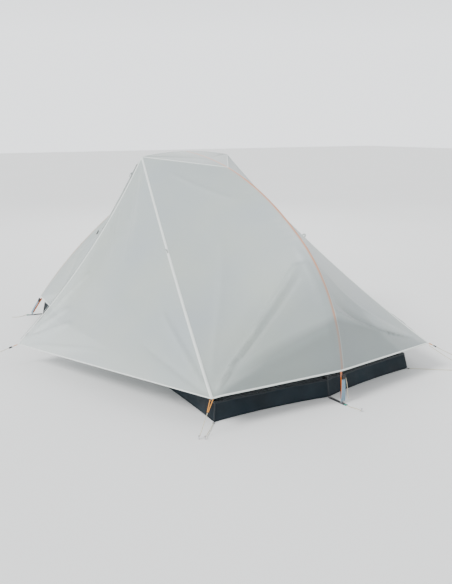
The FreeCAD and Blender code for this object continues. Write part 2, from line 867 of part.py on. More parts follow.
def pull(side, place):
    """A flat pull that swings on the slider's pin, lying back along the zip."""
    label = "zip_pull_" + side
    body = new_body(label, place)
    outline = sketch_on(body, label + "_outline", "XZ_Plane")
    high, low = PIN_HEIGHT + 1.9, PIN_HEIGHT - 1.9
    reach = dim("pull_length")
    add_polygon(outline, [(-1.9, low), (1.9, low), (4.4, PIN_HEIGHT + 0.9), (reach, PIN_HEIGHT + 0.9),
                          (reach, PIN_HEIGHT + 0.9 + dim("pull_thick")),
                          (3.0, PIN_HEIGHT + 0.9 + dim("pull_thick")), (-1.9, high)])
    pad(body, outline, "pull_width", both_ways=True)
    eye = sketch_on(body, label + "_eye", "XZ_Plane")
    add_circle(eye, "pin_radius+pin_clearance", 0.0, PIN_HEIGHT)
    pocket_through(body, eye)
    keep(body, label)


zips()


# ---------------------------------------------------------------- pole feet

def ribbon(start, end, width, thick, facing):
    """A flat strap between two points, its face turned towards facing."""
    along = end - start
    length = along.Length
    strap = Part.makeBox(length, width, thick)
    placement = pose_along(start, along, facing)
    strap.Placement = placement
    strap.translate(placement.Rotation.multVec(Vector(0, -width / 2, -thick / 2)))
    return strap


WEBBING_BEYOND = 24.0              # floor webbing beyond the pole's foot
WEBBING_WIDTH = dim("strap_width") + 6.0
TAB_LENGTH = 11.0


def flat_webbing(corner, foot):
    """Webbing on the ground from a corner of the floor to past a pole's foot, and its end tab."""
    along = Vector(foot.x - corner.x, foot.y - corner.y, 0)
    length = along.Length + WEBBING_BEYOND
    along.normalize()
    across = UP.cross(along)
    strip = Part.makeBox(length, WEBBING_WIDTH, dim("strap_thick"))
    strip.Placement = pose(corner + UP * 0.4 - across * WEBBING_WIDTH / 2, along, UP)
    hole = Part.makeCylinder(dim("grommet_bore") + 0.4, 10, foot - UP * 5)
    tab = Part.makeBox(TAB_LENGTH, WEBBING_WIDTH - 4, 3.2)
    tab.Placement = pose(foot + along * (WEBBING_BEYOND + 0.2) + UP * 0.4
                         - across * (WEBBING_WIDTH / 2 - 2), along, UP)
    return [strip.cut(hole), tab]


def grommet(name, foot):
    """A turned ring in the webbing, which the pole's ball end stands in."""
    ring = new_body(name + "_grommet", FreeCAD.Placement(foot + UP * 2.2, Rotation()))
    section = sketch_on(ring, name + "_grommet_section", "XZ_Plane")
    add_polygon(section, [("grommet_bore", 0.0), ("grommet_radius", 0.0), ("grommet_radius", 1.2),
                          (7.6, "grommet_height"), (6.2, "grommet_height"), ("grommet_bore", 1.6)])
    revolve(ring, section)
    return ring


def buckle(name, place):
    """A ladder buckle with two slots, which joins the fly's corner to the strap below it."""
    body = new_body(name + "_buckle", place)
    outline = sketch_on(body, name + "_buckle_outline", "XZ_Plane")
    wide, tall = "buckle_width/2", "buckle_height/2"
    add_polygon(outline, [("-" + wide, "-" + tall), (wide, "-" + tall), (wide, 6.0),
                          (6.5, tall), (-6.5, tall), ("-" + wide, 6.0)])
    pad(body, outline, "buckle_thick", both_ways=True)
    for slot, height in (("lower", -6.4), ("upper", 3.4)):
        window = sketch_on(body, name + "_buckle_" + slot, "XZ_Plane")
        add_rectangle(window, "strap_width/2", "buckle_slot/2", height)
        pocket_through(body, window)
    return body


def pole_feet():
    """What holds each pole foot: webbing and grommet below, a strap and a buckle up to the fly."""
    webbing, grommets, straps, buckles = [], [], [], []
    feet = [("foot", point(0, -dim("foot_point") - 2, 0), spine.at(0), spine.direction(0))]
    for side, sign in SIDES:
        head_corner = point(sign * (dim("head_half_width") + 4), dim("floor_length") + 4, 0)
        path = legs[side]
        feet.append(("head_" + side, head_corner, path.at(path.length), -path.direction(path.length)))
    for name, corner, foot, direction in feet:
        foot.z = 0
        webbing += flat_webbing(corner, foot)
        grommets.append(grommet(name, foot))
        outward = Vector(foot.x - corner.x, foot.y - corner.y, 0)
        across = direction.cross(outward).normalize()
        clear = across.cross(direction)
        strap = Part.makeBox(dim("strap_width"), dim("strap_thick"), dim("strap_top") - 14)
        strap.Placement = pose(foot + clear * 9.5 + direction * 12 - across * dim("strap_width") / 2,
                               across, direction)
        straps.append(strap)
        place = pose(foot + clear * 10.3 + direction * (dim("strap_top") + 9.5), across, direction)
        buckles.append(buckle(name, place))
    for side, sign in SIDES:
        start = point(sign * (dim("foot_half_width") + 1), -1, 1.4)
        end = point(*CORD_ROUTES["guyline_floor_" + side][0])
        webbing.append(ribbon(start, end - (end - start) * 0.08, 9.0, 1.6, UP))
    add_shape("floor_webbing", webbing)
    add_group("pole_grommets", grommets)
    add_shape("fly_straps", straps)
    add_group("fly_buckles", buckles)


# ---------------------------------------------------------------- fly corners and guylines

# Each guyline's route, from the tent to its end, given from the foot edge of the floor.
CORD_ROUTES = {
    "guyline_tip_left": [(-1046, 1191, 104), (-1160, 1203, 69), (-1274, 1216, 37), (-1386, 1228, 9)],
    "guyline_corner_left": [(-658, -88, 96), (-682, -94, 50), (-702, -99, 10)],
    "guyline_corner_right": [(655, -88, 135), (734, -112, 89), (814, -136, 46), (892, -159, 9)],
    "guyline_corner_right_low": [(630, -86, 137), (686, -127, 90), (743, -169, 47), (796, -209, 9)],
    "guyline_floor_left": [(-584, -9, 3), (-618, -46, 3.6), (-652, -80, 4.6), (-684, -113, 6)],
    "guyline_floor_right": [(584, -9, 3), (654, -76, 3.6), (727, -145, 4.6), (797, -210, 6)],
    "guyline_foot": [(0, -182, 2.6), (-3, -202, 2.4), (5, -222, 2.4), (10, -244, 2.6), (6, -266, 5)],
    "guyline_head_left": [(-680, 2152, 2), (-702, 2142, 1.6), (-728, 2120, 1.6), (-759, 2118, 1.6),
                          (-788, 2136, 1.6)],
    "foot_tail_cord": [(11, -157, 121), (17, -158, 101), (21, -158, 77), (24, -158, 52),
                       (27, -157, 31), (35, -156, 16)],
}
STAKES = [(-706, -100), (-687, -116), (799, -213), (896, -160), (6, -270), (-1390, 1229)]

pole_feet()


def cord_path(points):
    """Straight runs joined by tangent arcs as large as the runs allow."""
    edges, last = [], points[0]
    radii = []
    for before, corner, after in zip(points, points[1:], points[2:]):
        first, second = corner - before, after - corner
        turn = first.getAngle(second)
        run = min(first.Length, second.Length)
        cut = 0.45 * run
        radius = cut / math.tan(turn / 2)
        radii.append(round(radius))
        start = corner - first.normalize() * cut
        end = corner + second.normalize() * cut
        bisector = (start + end) / 2 - corner
        to_centre = math.hypot(radius, cut)
        middle = corner + bisector.normalize() * (to_centre - radius)
        edges.append(Part.LineSegment(last, start).toShape())
        edges.append(Part.Arc(start, middle, end).toShape())
        last = end
    edges.append(Part.LineSegment(last, points[-1]).toShape())
    return Part.Wire(edges), radii


def guylines():
    radius = dim("cord_dia") / 2
    for name, route in CORD_ROUTES.items():
        points = [point(*place) for place in route]
        path, radii = cord_path(points)
        circle = Part.makeCircle(radius, points[0], points[1] - points[0])
        solid = path.makePipeShell([Part.Wire(circle)], True, False)
        ratio = solid.Volume / (math.pi * radius ** 2 * path.Length)
        print("%s length %.0f radii %s volume ratio %.4f" % (name, path.Length, radii, ratio))
        add_shape(name, solid)


guylines()


def stake_heads():
    """The part of each stake that stands above the ground: a stub with a wider head."""
    radius, height = dim("stake_radius"), dim("stake_height")
    stakes = []
    for x, y in STAKES:
        base = point(x, y, 0)
        stem = Part.makeCylinder(radius - 0.9, height, base)
        collar = Part.makeCone(radius - 0.9, radius, 2.0, base + UP * (height - 4))
        head = Part.makeCylinder(radius, 2.0, base + UP * (height - 2))
        stakes.append(stem.fuse(collar).fuse(head))
    add_shape("stake_heads", stakes)


stake_heads()


WEBBING_TIP = Vector(21, 2, -6)    # from a vestibule tip to the end of its webbing, on the right


def corner_webbing():
    """Orange webbing: a narrow V at each foot corner and a loop at each vestibule tip."""
    pieces = []
    for side, sign in SIDES:
        corner = corners[side]
        end = point(*CORD_ROUTES["guyline_corner_" + side][0])
        drop = end - corner
        spreading = Vector(5, sign * 3, 0)
        for shift in (spreading, -spreading):
            pieces.append(ribbon(corner + drop * 0.12 + shift, corner + drop * 0.93 + shift * 0.35,
                                 3.0, 1.2, Vector(sign, -1, 0.5)))
        tip = tips[side]
        drop = Vector(sign * WEBBING_TIP.x, WEBBING_TIP.y, WEBBING_TIP.z)
        pieces.append(ribbon(tip + drop * 0.2, tip + drop * 0.97, 9.0, 1.4, UP))
    add_shape("corner_webbing", pieces)


corner_webbing()


def line_tensioners():
    """A slotted block on each long guyline; it grips the cord and slides along it."""
    for name in ("tip_left", "corner_right"):
        route = [point(*place) for place in CORD_ROUTES["guyline_" + name]]
        along = (route[1] - route[0]).normalize()
        centre = route[0] + along * 14.0
        body = new_body("tensioner_" + name, pose_along(centre, along, UP))
        outline = sketch_on(body, "tensioner_outline_" + name, "XZ_Plane")
        half, low, high = "tensioner_length/2", "-tensioner_height/2", "tensioner_height/2"
        add_polygon(outline, [("-" + half, low), (half, low), (half, 1.0), (5.0, high), (-5.0, high),
                              ("-" + half, 1.0)])
        pad(body, outline, "tensioner_width", both_ways=True)
        bore = sketch_on(body, "tensioner_bore_" + name, "YZ_Plane")
        add_circle(bore, "tensioner_bore")
        pocket_through(body, bore)
        keep(body, "tensioner_" + name)


line_tensioners()


# ---------------------------------------------------------------- toggles and loops

def gore_frame(side):
    """The middle of the gore's door edge, with the gore's outward normal and edge direction."""
    top, foot = peaks[side], door_feet[side]
    edge = (foot - top).normalize()
    ridge = leg_line(side)(0.5)
    middle = between(top, foot, 0.49)
    inward = ridge - middle
    normal = edge.cross(inward).normalize()
    if normal.x * (1 if side == "right" else -1) < 0:
        normal = -normal
    return middle, normal, edge


def door_toggles():
    """On each gore a webbing tab with a post, and a toggle bar that turns on it."""
    tabs = []
    for side, sign in SIDES:
        middle, normal, edge = gore_frame(side)
        ridge = leg_line(side)(0.5)
        base = between(middle, ridge, 0.22) + normal * 5.0
        tab = Part.makeBox(16, 9, 1.4)
        placement = pose(base, edge, normal)
        tab.Placement = placement
        tab.translate(placement.Rotation.multVec(Vector(-8, -4.5, 0)))
        post = Part.makeCylinder(dim("toggle_bore") - dim("pin_clearance"), 9.6, base, normal)
        tabs.append(tab.fuse(post))
        body = new_body("door_toggle_" + side, pose(base + normal * 6.0, edge, normal))
        section = sketch_on(body, "toggle_section_" + side, "YZ_Plane")
        add_circle(section, "toggle_radius")
        pad(body, section, "toggle_length", both_ways=True)
        hole = sketch_on(body, "toggle_hole_" + side, "XY_Plane")
        add_circle(hole, "toggle_bore")
        pocket_through(body, hole)
        keep(body, "door_toggle_" + side)
    add_shape("toggle_tabs", tabs)


door_toggles()


def guyout_loops():
    """A small sewn loop halfway down each foot seam, for an extra guyline."""
    loops = []
    for side, sign in SIDES:
        seam = arc_point(foot_seams[side], 0.44)
        below = arc_point(foot_seams[side], 0.46)
        outward = Vector(sign, -0.9, 0.5).normalize()
        placement = pose(seam + outward * 9.0, below - seam, outward)
        plate = Part.makeBox(18, 24, 1.6)
        plate.Placement = placement
        plate.translate(placement.Rotation.multVec(Vector(-9, -12, 0)))
        slot = Part.makeBox(9, 14, 4)
        slot.Placement = placement
        slot.translate(placement.Rotation.multVec(Vector(-4.5, -7, -1)))
        loops.append(plate.cut(slot))
    add_shape("guyout_loops", loops)


guyout_loops()


# ---------------------------------------------------------------- check and export

doc.recompute()
for obj in doc.Objects:
    if "Invalid" in obj.State or "Error" in obj.State:
        raise RuntimeError("%s failed: %s" % (obj.Label, obj.State))
for obj in PARTS:
    if obj.Shape.isNull() or not obj.Shape.isValid():
        raise RuntimeError("%s has no valid shape" % obj.Label)
os.makedirs("parts", exist_ok=True)
for obj in PARTS:
    obj.Shape.exportStep("parts/%s.step" % obj.Label)
print(len(PARTS), "parts")
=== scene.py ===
import json
import math

import bpy
import numpy as np
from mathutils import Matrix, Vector, noise
from mathutils.bvhtree import BVHTree


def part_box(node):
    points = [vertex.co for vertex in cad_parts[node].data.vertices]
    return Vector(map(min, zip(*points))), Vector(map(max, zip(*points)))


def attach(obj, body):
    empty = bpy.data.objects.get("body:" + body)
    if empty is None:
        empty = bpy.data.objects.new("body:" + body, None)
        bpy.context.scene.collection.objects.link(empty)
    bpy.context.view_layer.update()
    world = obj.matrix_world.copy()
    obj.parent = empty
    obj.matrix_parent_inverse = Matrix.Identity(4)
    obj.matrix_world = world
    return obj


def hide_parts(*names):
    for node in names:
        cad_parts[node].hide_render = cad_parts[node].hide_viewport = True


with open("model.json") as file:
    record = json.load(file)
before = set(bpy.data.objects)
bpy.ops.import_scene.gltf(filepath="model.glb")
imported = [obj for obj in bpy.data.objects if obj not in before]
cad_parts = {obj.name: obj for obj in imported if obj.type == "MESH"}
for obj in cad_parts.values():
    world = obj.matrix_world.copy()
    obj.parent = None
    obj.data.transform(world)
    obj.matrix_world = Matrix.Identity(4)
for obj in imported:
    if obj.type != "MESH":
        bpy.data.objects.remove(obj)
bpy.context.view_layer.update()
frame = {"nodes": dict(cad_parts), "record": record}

# A pitched two-person tent on a hubbed pole: the flysheet, inner tent, floor, webbing and cords are
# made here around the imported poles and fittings.  Metres, +Z up, +Y from the foot end to the head.

FOOT_EDGE = -0.9797                  # the foot edge of the floor, along Y
BROW_LINE = 0.2283                   # where the brow pole crosses the spine, along Y
SIDES = (("left", -1), ("right", 1))
UP = np.array([0.0, 0.0, 1.0])


def place(x, y, z):
    """A point given from the foot edge of the floor."""
    return np.array([x, y + FOOT_EDGE, z])


def unit(v):
    return v / np.linalg.norm(v)


# ---------------------------------------------------------------- camera

SENSOR_WIDTH = 36.0
IMAGE_LONG_SIDE = 584                # pixels
FOCAL_PIXELS = 692.0
CAMERA_PLACE = (-1.9656, -3.2729, 1.2)
CAMERA_YAW, CAMERA_PITCH = 34.92, 12.99
AXIS_OFF_CENTRE = (29.5, 5.8)        # pixels from the picture's middle to the optical axis


def add_camera():
    data = bpy.data.cameras.new("camera")
    data.sensor_width = SENSOR_WIDTH
    data.lens = SENSOR_WIDTH * FOCAL_PIXELS / IMAGE_LONG_SIDE
    data.shift_x = -AXIS_OFF_CENTRE[0] / IMAGE_LONG_SIDE
    data.shift_y = -AXIS_OFF_CENTRE[1] / IMAGE_LONG_SIDE
    camera = bpy.data.objects.new("camera", data)
    camera.location = CAMERA_PLACE
    camera.rotation_euler = (math.radians(90 - CAMERA_PITCH), 0, math.radians(-CAMERA_YAW))
    bpy.context.scene.collection.objects.link(camera)
    bpy.context.scene.camera = camera


add_camera()

# ---------------------------------------------------------------- materials


class Nodes:
    """A material's node tree, with short calls for the nodes used here."""

    def __init__(self, name, colour, roughness, **sockets):
        self.material = bpy.data.materials.new(name)
        self.material.use_nodes = True
        self.tree = self.material.node_tree
        self.shader = self.tree.nodes["Principled BSDF"]
        self.set("Base Color", (*colour, 1.0))
        self.set("Roughness", roughness)
        for socket, value in sockets.items():
            self.set(socket.replace("_", " "), value)
        self.coordinates = self.tree.nodes.new("ShaderNodeTexCoord")

    def set(self, socket, value):
        self.shader.inputs[socket].default_value = value

    def link(self, source, target):
        self.tree.links.new(source, target)

    def node(self, kind, inputs=None, **settings):
        """A new node; each input is given a plain value or another node's output."""
        made = self.tree.nodes.new("ShaderNode" + kind)
        for key, value in settings.items():
            setattr(made, key, value)
        for key, value in (inputs or {}).items():
            if isinstance(value, bpy.types.NodeSocket):
                self.link(value, made.inputs[key])
            else:
                made.inputs[key].default_value = value
        return made

    def math(self, operation, *values):
        return self.node("Math", dict(enumerate(values)), operation=operation).outputs[0]

    def product(self, first, second):
        return self.math("MULTIPLY", first, second)

    def less(self, first, second):
        return self.math("SUBTRACT", first, second)

    def place(self):
        """X, Y and Z in the tent's frame."""
        separate = self.node("SeparateXYZ", {"Vector": self.coordinates.outputs["Object"]})
        return [separate.outputs[axis] for axis in "XYZ"]

    def noise(self, scale, detail=3.0, stretch=(1, 1, 1)):
        mapping = self.node("Mapping", {"Vector": self.coordinates.outputs["Object"], "Scale": stretch})
        made = self.node("TexNoise", {"Vector": mapping.outputs[0], "Scale": scale, "Detail": detail})
        return made.outputs["Fac"]

    def ramp(self, value, low, high, start=0.0, end=1.0):
        """value stretched from low..high to start..end, and held there."""
        made = self.node("MapRange", {"Value": value, "From Min": low, "From Max": high,
                                      "To Min": start, "To Max": end}, clamp=True)
        return made.outputs[0]

    def mix(self, share, first, second):
        """A mix of two colours, each a tuple or another node's output."""
        first, second = (c if isinstance(c, bpy.types.NodeSocket) else (*c, 1.0) for c in (first, second))
        return self.node("Mix", {0: share, 6: first, 7: second}, data_type="RGBA").outputs[2]

    def threads(self, count):
        """Crossing threads, so many to the metre, as a height from 0 to 1."""
        separate = self.node("SeparateXYZ", {"Vector": self.coordinates.outputs["UV"]})
        waves = [self.math("SINE", self.product(separate.outputs[i], count * math.tau)) for i in (0, 1)]
        return self.ramp(self.product(*waves), -1, 1)

    def bump(self, height, distance, strength=1.0):
        previous = self.shader.inputs["Normal"].links
        made = self.node("Bump", {"Height": height, "Distance": distance, "Strength": strength})
        if previous:
            self.link(previous[0].from_socket, made.inputs["Normal"])
        self.link(made.outputs[0], self.shader.inputs["Normal"])

    def colour(self, socket):
        self.link(socket, self.shader.inputs["Base Color"])

    def roughness(self, noise_output, low, high):
        self.link(self.ramp(noise_output, 0.3, 0.7, low, high), self.shader.inputs["Roughness"])


def linear(r, g, b):
    """A colour given as 0-255 display values, in the linear values that shaders take."""
    return tuple((c / 255 / 12.92) if c < 10.3 else ((c / 255 + 0.055) / 1.055) ** 2.4 for c in (r, g, b))


def webbing_material(name, colour, dark=0.72):
    """Woven tape: ribs across it, a thread texture, painted shade between the ribs and a little wear."""
    made = Nodes(name, colour, 0.75, Sheen_Weight=0.25)
    ribs = made.threads(420)
    wear = made.noise(35.0)
    # painted shade: darker in the low parts between the ribs, mixed with a little wear
    made.colour(made.mix(made.product(ribs, wear), tuple(c * dark for c in colour), colour))
    made.bump(ribs, 0.0004)
    return made.material


def moulded_material(name, colour, roughness=0.45, grain=900.0):
    """Moulded plastic: fine grain and slightly uneven gloss."""
    made = Nodes(name, colour, roughness, Specular_IOR_Level=0.45)
    fine = made.noise(grain, 2.0)
    broad = made.noise(60.0)
    made.colour(made.mix(broad, tuple(c * 0.8 for c in colour), tuple(min(1, c * 1.25 + 0.004) for c in colour)))
    made.roughness(broad, roughness - 0.08, roughness + 0.1)
    made.bump(fine, 0.0001)
    return made.material


def metal_material(name, colour, roughness=0.3, streak=(1, 1, 1)):
    """Drawn or turned alloy: fine streaks, and rubbed patches that show a little duller."""
    made = Nodes(name, colour, roughness, Metallic=1.0)
    streaks = made.noise(500.0, 4.0, stretch=streak)
    worn = made.ramp(made.noise(28.0, 4.0), 0.52, 0.7)
    made.colour(made.mix(worn, colour, tuple(0.75 * c + 0.16 for c in colour)))
    made.roughness(streaks, roughness - 0.07, roughness + 0.12)
    made.bump(streaks, 0.00005)
    return made.material


FLY = linear(178, 186, 180)
FLY_COOL = linear(169, 178, 181)
SEAM = linear(224, 229, 225)
# the floor's own dark colour, also used as painted shade on the inner tent's lowest strip
FLOOR_AND_SHADE_DARK = linear(10, 20, 26)
GHOST = linear(232, 148, 92)         # a pole seen through the cloth that lies on it
# painted shade: the fly's colour low down, where the floor's dark wall stands close behind it
SHADED_FLY = linear(112, 121, 120)       # cloth with the dark floor's wall close behind it
RIP_SQUARE = 0.0055
HUB_Y = 0.2830
LEG_HEADING = unit(np.array([0.662, 0.8645]))
# Where painted shade darkens the flysheet: a line's height at the middle and its fall to the side, the softness of
# the change below and above the line, and the Y where it starts to fade and where it has gone.
WALL_SHADE = (0.385, 0.37, (-0.012, 0.016), (-0.98, -0.80))
ROOM_SHADE = (0.64, 0.80, (-0.02, 0.12), (-0.90, -0.66))


def fly_material(name):
    """Thin coated ripstop: a rip grid, soft mottling, the poles that lie against it, and painted shade where the
    floor's dark wall stands close behind it.
    """
    made = Nodes(name, FLY, 0.42, Sheen_Weight=0.15, Alpha=0.9, Specular_IOR_Level=0.4)
    x, y, z = made.place()
    sideways = made.math("ABSOLUTE", x)

    cloth = made.mix(made.ramp(made.noise(2.2, 4.0), 0.35, 0.68), FLY, FLY_COOL)
    grid = made.node("TexBrick", {"Vector": made.coordinates.outputs["UV"], "Scale": 1.0, "Mortar Size": 0.0005,
                                  "Brick Width": RIP_SQUARE, "Row Height": RIP_SQUARE, "Bias": 0.0},
                     offset=0.0).outputs["Fac"]
    cloth = made.mix(made.product(grid, 0.35), cloth, tuple(c * 0.8 for c in FLY))
    tape = made.ramp(made.math("ABSOLUTE", made.less(x, 0.0095)), 0.0022, 0.0032, 0.8, 0.0)
    cloth = made.mix(made.product(tape, made.ramp(y, -0.75, -0.35, 1.0, 0.0)), cloth, SEAM)

    over_spine = made.ramp(sideways, 0.0042, 0.0070, 1.0, 0.0)
    over_spine = made.product(over_spine, made.math("LESS_THAN", y, BROW_LINE))
    from_leg = made.less(made.product(sideways, LEG_HEADING[1]), made.product(made.less(y, HUB_Y), LEG_HEADING[0]))
    over_leg = made.ramp(made.math("ABSOLUTE", made.less(from_leg, 0.004)), 0.0036, 0.0062, 1.0, 0.0)
    over_leg = made.product(over_leg, made.math("GREATER_THAN", y, HUB_Y))
    worn = made.ramp(made.noise(9.0, 2.0), 0.3, 0.7, 0.5, 0.82)
    cloth = made.mix(made.product(made.math("ADD", over_spine, over_leg), worn), cloth, GHOST)

    def shade(middle, fall, softness, fade):
        under = made.less(made.less(middle, made.product(sideways, fall)), z)
        return made.product(made.ramp(under, *softness), made.ramp(y, *fade, 1.0, 0.0))

    cloth = made.mix(made.product(made.ramp(sideways, 0.62, 1.0), 0.35), cloth, SEAM)
    # painted shade: the fly darker low down toward the foot, where the inner tent and the floor's wall stand close
    # behind it
    cloth = made.mix(made.product(shade(*ROOM_SHADE), 0.30), cloth, SHADED_FLY)
    made.colour(made.mix(made.product(shade(*WALL_SHADE), 0.55), cloth, SHADED_FLY))
    made.bump(grid, 0.00012, 0.5)
    made.bump(made.noise(160.0, 3.0), 0.0004, 0.25)
    return made.material


def floor_material():
    """Dark coated cloth, a little crumpled."""
    made = Nodes("floor_fabric", FLOOR_AND_SHADE_DARK, 0.6, Specular_IOR_Level=0.2)
    broad = made.ramp(made.noise(5.0, 5.0), 0.35, 0.7)
    made.colour(made.mix(broad, linear(16, 26, 33), linear(28, 42, 50)))
    made.roughness(made.noise(11.0), 0.5, 0.72)
    made.bump(made.noise(22.0, 6.0), 0.004, 0.5)
    made.bump(made.threads(900), 0.0001)
    return made.material


def inner_material(name, colour, alpha):
    """Fine netting, with painted shade in the floor's dark colour on its lowest strip, below about 0.15 m."""
    made = Nodes(name, colour, 0.8, Alpha=alpha, Sheen_Weight=0.2)
    netting = made.mix(made.noise(6.0), tuple(c * 0.85 for c in colour), colour)
    height = made.place()[2]
    # painted shade: below about 0.15 m the inner tent takes the floor's dark colour
    made.colour(made.mix(made.ramp(height, 0.150, 0.153), FLOOR_AND_SHADE_DARK, netting))
    made.bump(made.threads(1100), 0.0002, 0.6)
    return made.material


MATERIALS = {
    "fly_fabric": fly_material("fly_fabric"),
    "seam": webbing_material("fly_seam_tape", SEAM, 0.9),
    "floor_fabric": floor_material(),
    "inner_net": inner_material("inner_net", linear(140, 148, 150), 0.8),
    "pole_alloy": metal_material("pole_alloy", linear(222, 120, 58), 0.28, (1, 1, 0.02)),
    "ferrule_alloy": metal_material("ferrule_alloy", linear(190, 192, 196)),
    "tip_alloy": metal_material("tip_alloy", linear(186, 188, 192)),
    "stake_alloy": metal_material("stake_alloy", linear(205, 206, 208), 0.35),
    "shock_cord": webbing_material("shock_cord", linear(214, 210, 196)),
    "hub_plastic": moulded_material("hub_plastic", linear(34, 35, 37)),
    "clip_plastic": moulded_material("clip_plastic", linear(42, 43, 46)),
    "buckle_plastic": moulded_material("buckle_plastic", linear(30, 31, 33), 0.4),
    "toggle_plastic": moulded_material("toggle_plastic", linear(44, 47, 50)),
    "zip_metal": moulded_material("zip_metal", linear(168, 174, 173), 0.35, 400.0),
    "zip_coil": webbing_material("zip_coil", linear(196, 203, 200)),
    "webbing_blue": webbing_material("webbing_blue", linear(122, 152, 170)),
    "webbing_pale": webbing_material("webbing_pale", linear(205, 212, 209)),
    "webbing_dark": webbing_material("webbing_dark", linear(16, 28, 36)),
    "webbing_teal": webbing_material("webbing_teal", linear(24, 140, 120)),
    "webbing_orange": webbing_material("webbing_orange", linear(228, 152, 52)),
    "guyline": webbing_material("guyline", linear(222, 214, 184)),
}


def dress_cad_nodes():
    """Every CAD node that shows takes the material of its slot."""
    for entry in frame["record"]["subparts"]:
        node = frame["nodes"][entry["node"]]
        slot = entry["material_slot"]
        node.data.materials.clear()
        node.data.materials.append(MATERIALS.get(slot, MATERIALS["fly_fabric"]))


dress_cad_nodes()

# ---------------------------------------------------------------- cords

CORD_DIAMETER = 0.0026
CORD_ROUTES = {
    "guyline_tip_left": [(-1.046, 1.191, 0.104), (-1.160, 1.203, 0.069), (-1.274, 1.216, 0.037),
                         (-1.386, 1.228, 0.009)],
    "guyline_corner_left": [(-0.658, -0.088, 0.096), (-0.682, -0.094, 0.050), (-0.702, -0.099, 0.010)],
    "guyline_corner_right": [(0.655, -0.088, 0.135), (0.734, -0.112, 0.089), (0.814, -0.136, 0.046),
                             (0.892, -0.159, 0.009)],
    "guyline_corner_right_low": [(0.630, -0.086, 0.137), (0.686, -0.127, 0.090), (0.743, -0.169, 0.047),
                                 (0.796, -0.209, 0.009)],
    "guyline_floor_left": [(-0.584, -0.009, 0.003), (-0.618, -0.046, 0.0036), (-0.652, -0.080, 0.0046),
                           (-0.684, -0.113, 0.006)],
    "guyline_floor_right": [(0.584, -0.009, 0.003), (0.654, -0.076, 0.0036), (0.727, -0.145, 0.0046),
                            (0.797, -0.210, 0.006)],
    "guyline_foot": [(0.0, -0.182, 0.0026), (-0.003, -0.202, 0.0024), (0.005, -0.222, 0.0024),
                     (0.010, -0.244, 0.0026), (0.006, -0.266, 0.005)],
    "guyline_head_left": [(-0.680, 2.152, 0.002), (-0.702, 2.142, 0.0016), (-0.728, 2.120, 0.0016),
                          (-0.759, 2.118, 0.0016), (-0.788, 2.136, 0.0016)],
    "foot_tail_cord": [(0.011, -0.157, 0.121), (0.017, -0.158, 0.101), (0.021, -0.158, 0.077),
                       (0.024, -0.158, 0.052), (0.027, -0.157, 0.031), (0.035, -0.156, 0.016)],
}


def add_cords():
    for name, route in CORD_ROUTES.items():
        points = [place(*p) for p in route]
        curve = bpy.data.curves.new(name + "_line", "CURVE")
        curve.dimensions = "3D"
        spline = curve.splines.new("NURBS")
        spline.points.add(len(points) - 1)
        for target, p in zip(spline.points, points):
            target.co = (*p, 1.0)
        spline.order_u = 3
        spline.use_endpoint_u = True
        curve.bevel_depth = CORD_DIAMETER / 2
        curve.bevel_resolution = 4
        curve.use_fill_caps = True
        cord = bpy.data.objects.new(name + "_cord", curve)
        bpy.context.scene.collection.objects.link(cord)
        curve.materials.append(MATERIALS["guyline"])
        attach(cord, "tent")
        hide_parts(name)


add_cords()

# ---------------------------------------------------------------- lines of the tent


class Pole:
    """A pole's centre line in a vertical plane: arcs of (radius, turn downwards in degrees)."""

    def __init__(self, start, along, heading, arcs):
        self.start, self.along = np.array(start), unit(np.array(along))
        self.pieces = []
        angle, u, w, reached = math.radians(heading), 0.0, 0.0, 0.0
        for radius, turn in arcs:
            turn = math.radians(turn)
            self.pieces.append((reached, radius, turn, u, w, angle))
            u += radius * (math.sin(angle) - math.sin(angle - turn))
            w += radius * (math.cos(angle - turn) - math.cos(angle))
            angle -= turn
            reached += radius * turn
        self.length = reached

    def at(self, s, lift=0.0):
        for reached, radius, turn, u, w, angle in self.pieces:
            if s <= reached + radius * turn + 1e-9:
                break
        turned = angle - (s - reached) / radius
        u += radius * (math.sin(angle) - math.sin(turned)) - lift * math.sin(turned)
        w += radius * (math.cos(turned) - math.cos(angle)) + lift * math.cos(turned)
        return self.start + self.along * u + UP * w


spine = Pole(place(0, -0.146, 0), (0, 1, 0), 90.0, ((1.160, 14.5), (0.728, 38.7), (1.740, 38.8)))
hub = spine.at(spine.length)
legs = {side: Pole(hub, (sign * 0.662, place(0, 2.127, 0)[1] - hub[1], 0), -35.1,
                   ((6.503, 6.7), (3.128, 13.7))) for side, sign in SIDES}

FLY_LIFT = 0.010              # fly above a pole's centre line
SPINE_AT_BROW = 1.905         # distances along the spine: where the brow pole crosses it,
ROOF_POINT = 1.470            # the roof panel's point,
FOOT_BUCKLE = 0.150           # and the fly's end at the foot
HEAD_BUCKLE = 0.146           # the fly's end, before a leg's foot
MEETING = 0.12                # share of a line over which it is led from another first point

peak = {side: np.array([sign * 0.277, 0.2333, 1.0404]) for side, sign in SIDES}
corner = {side: place(sign * 0.634, -0.082, 0.146) for side, sign in SIDES}
tip = {side: place(sign * 1.025, 1.189, 0.110) for side, sign in SIDES}
door_foot = {side: place(sign * 0.640, 1.705, 0.100) for side, sign in SIDES}
brow_top = np.array([0.0, BROW_LINE, 1.0640])
over_hub = hub + UP * 0.020
roof_point = spine.at(ROOF_POINT, FLY_LIFT)
foot_end = spine.at(FOOT_BUCKLE, FLY_LIFT)


def straight(a, b):
    """A line as a function of the share of the way along it, from 0 to 1; so are the lines below."""
    return lambda t: a + (b - a) * t


def bowed(a, b, sag):
    sag = np.array(sag)
    return lambda t: a + (b - a) * t + sag * (4 * t * (1 - t))


def led_from(start, line):
    """The same line, led over its first stretch from another first point, so that panels meet there."""
    gap = start - line(0.0)
    return lambda t: line(t) + gap * max(0.0, 1 - t / MEETING) ** 2


def foot_seam(side, sign):
    return bowed(peak[side], corner[side], (-sign * 0.012, 0.022, -0.038))


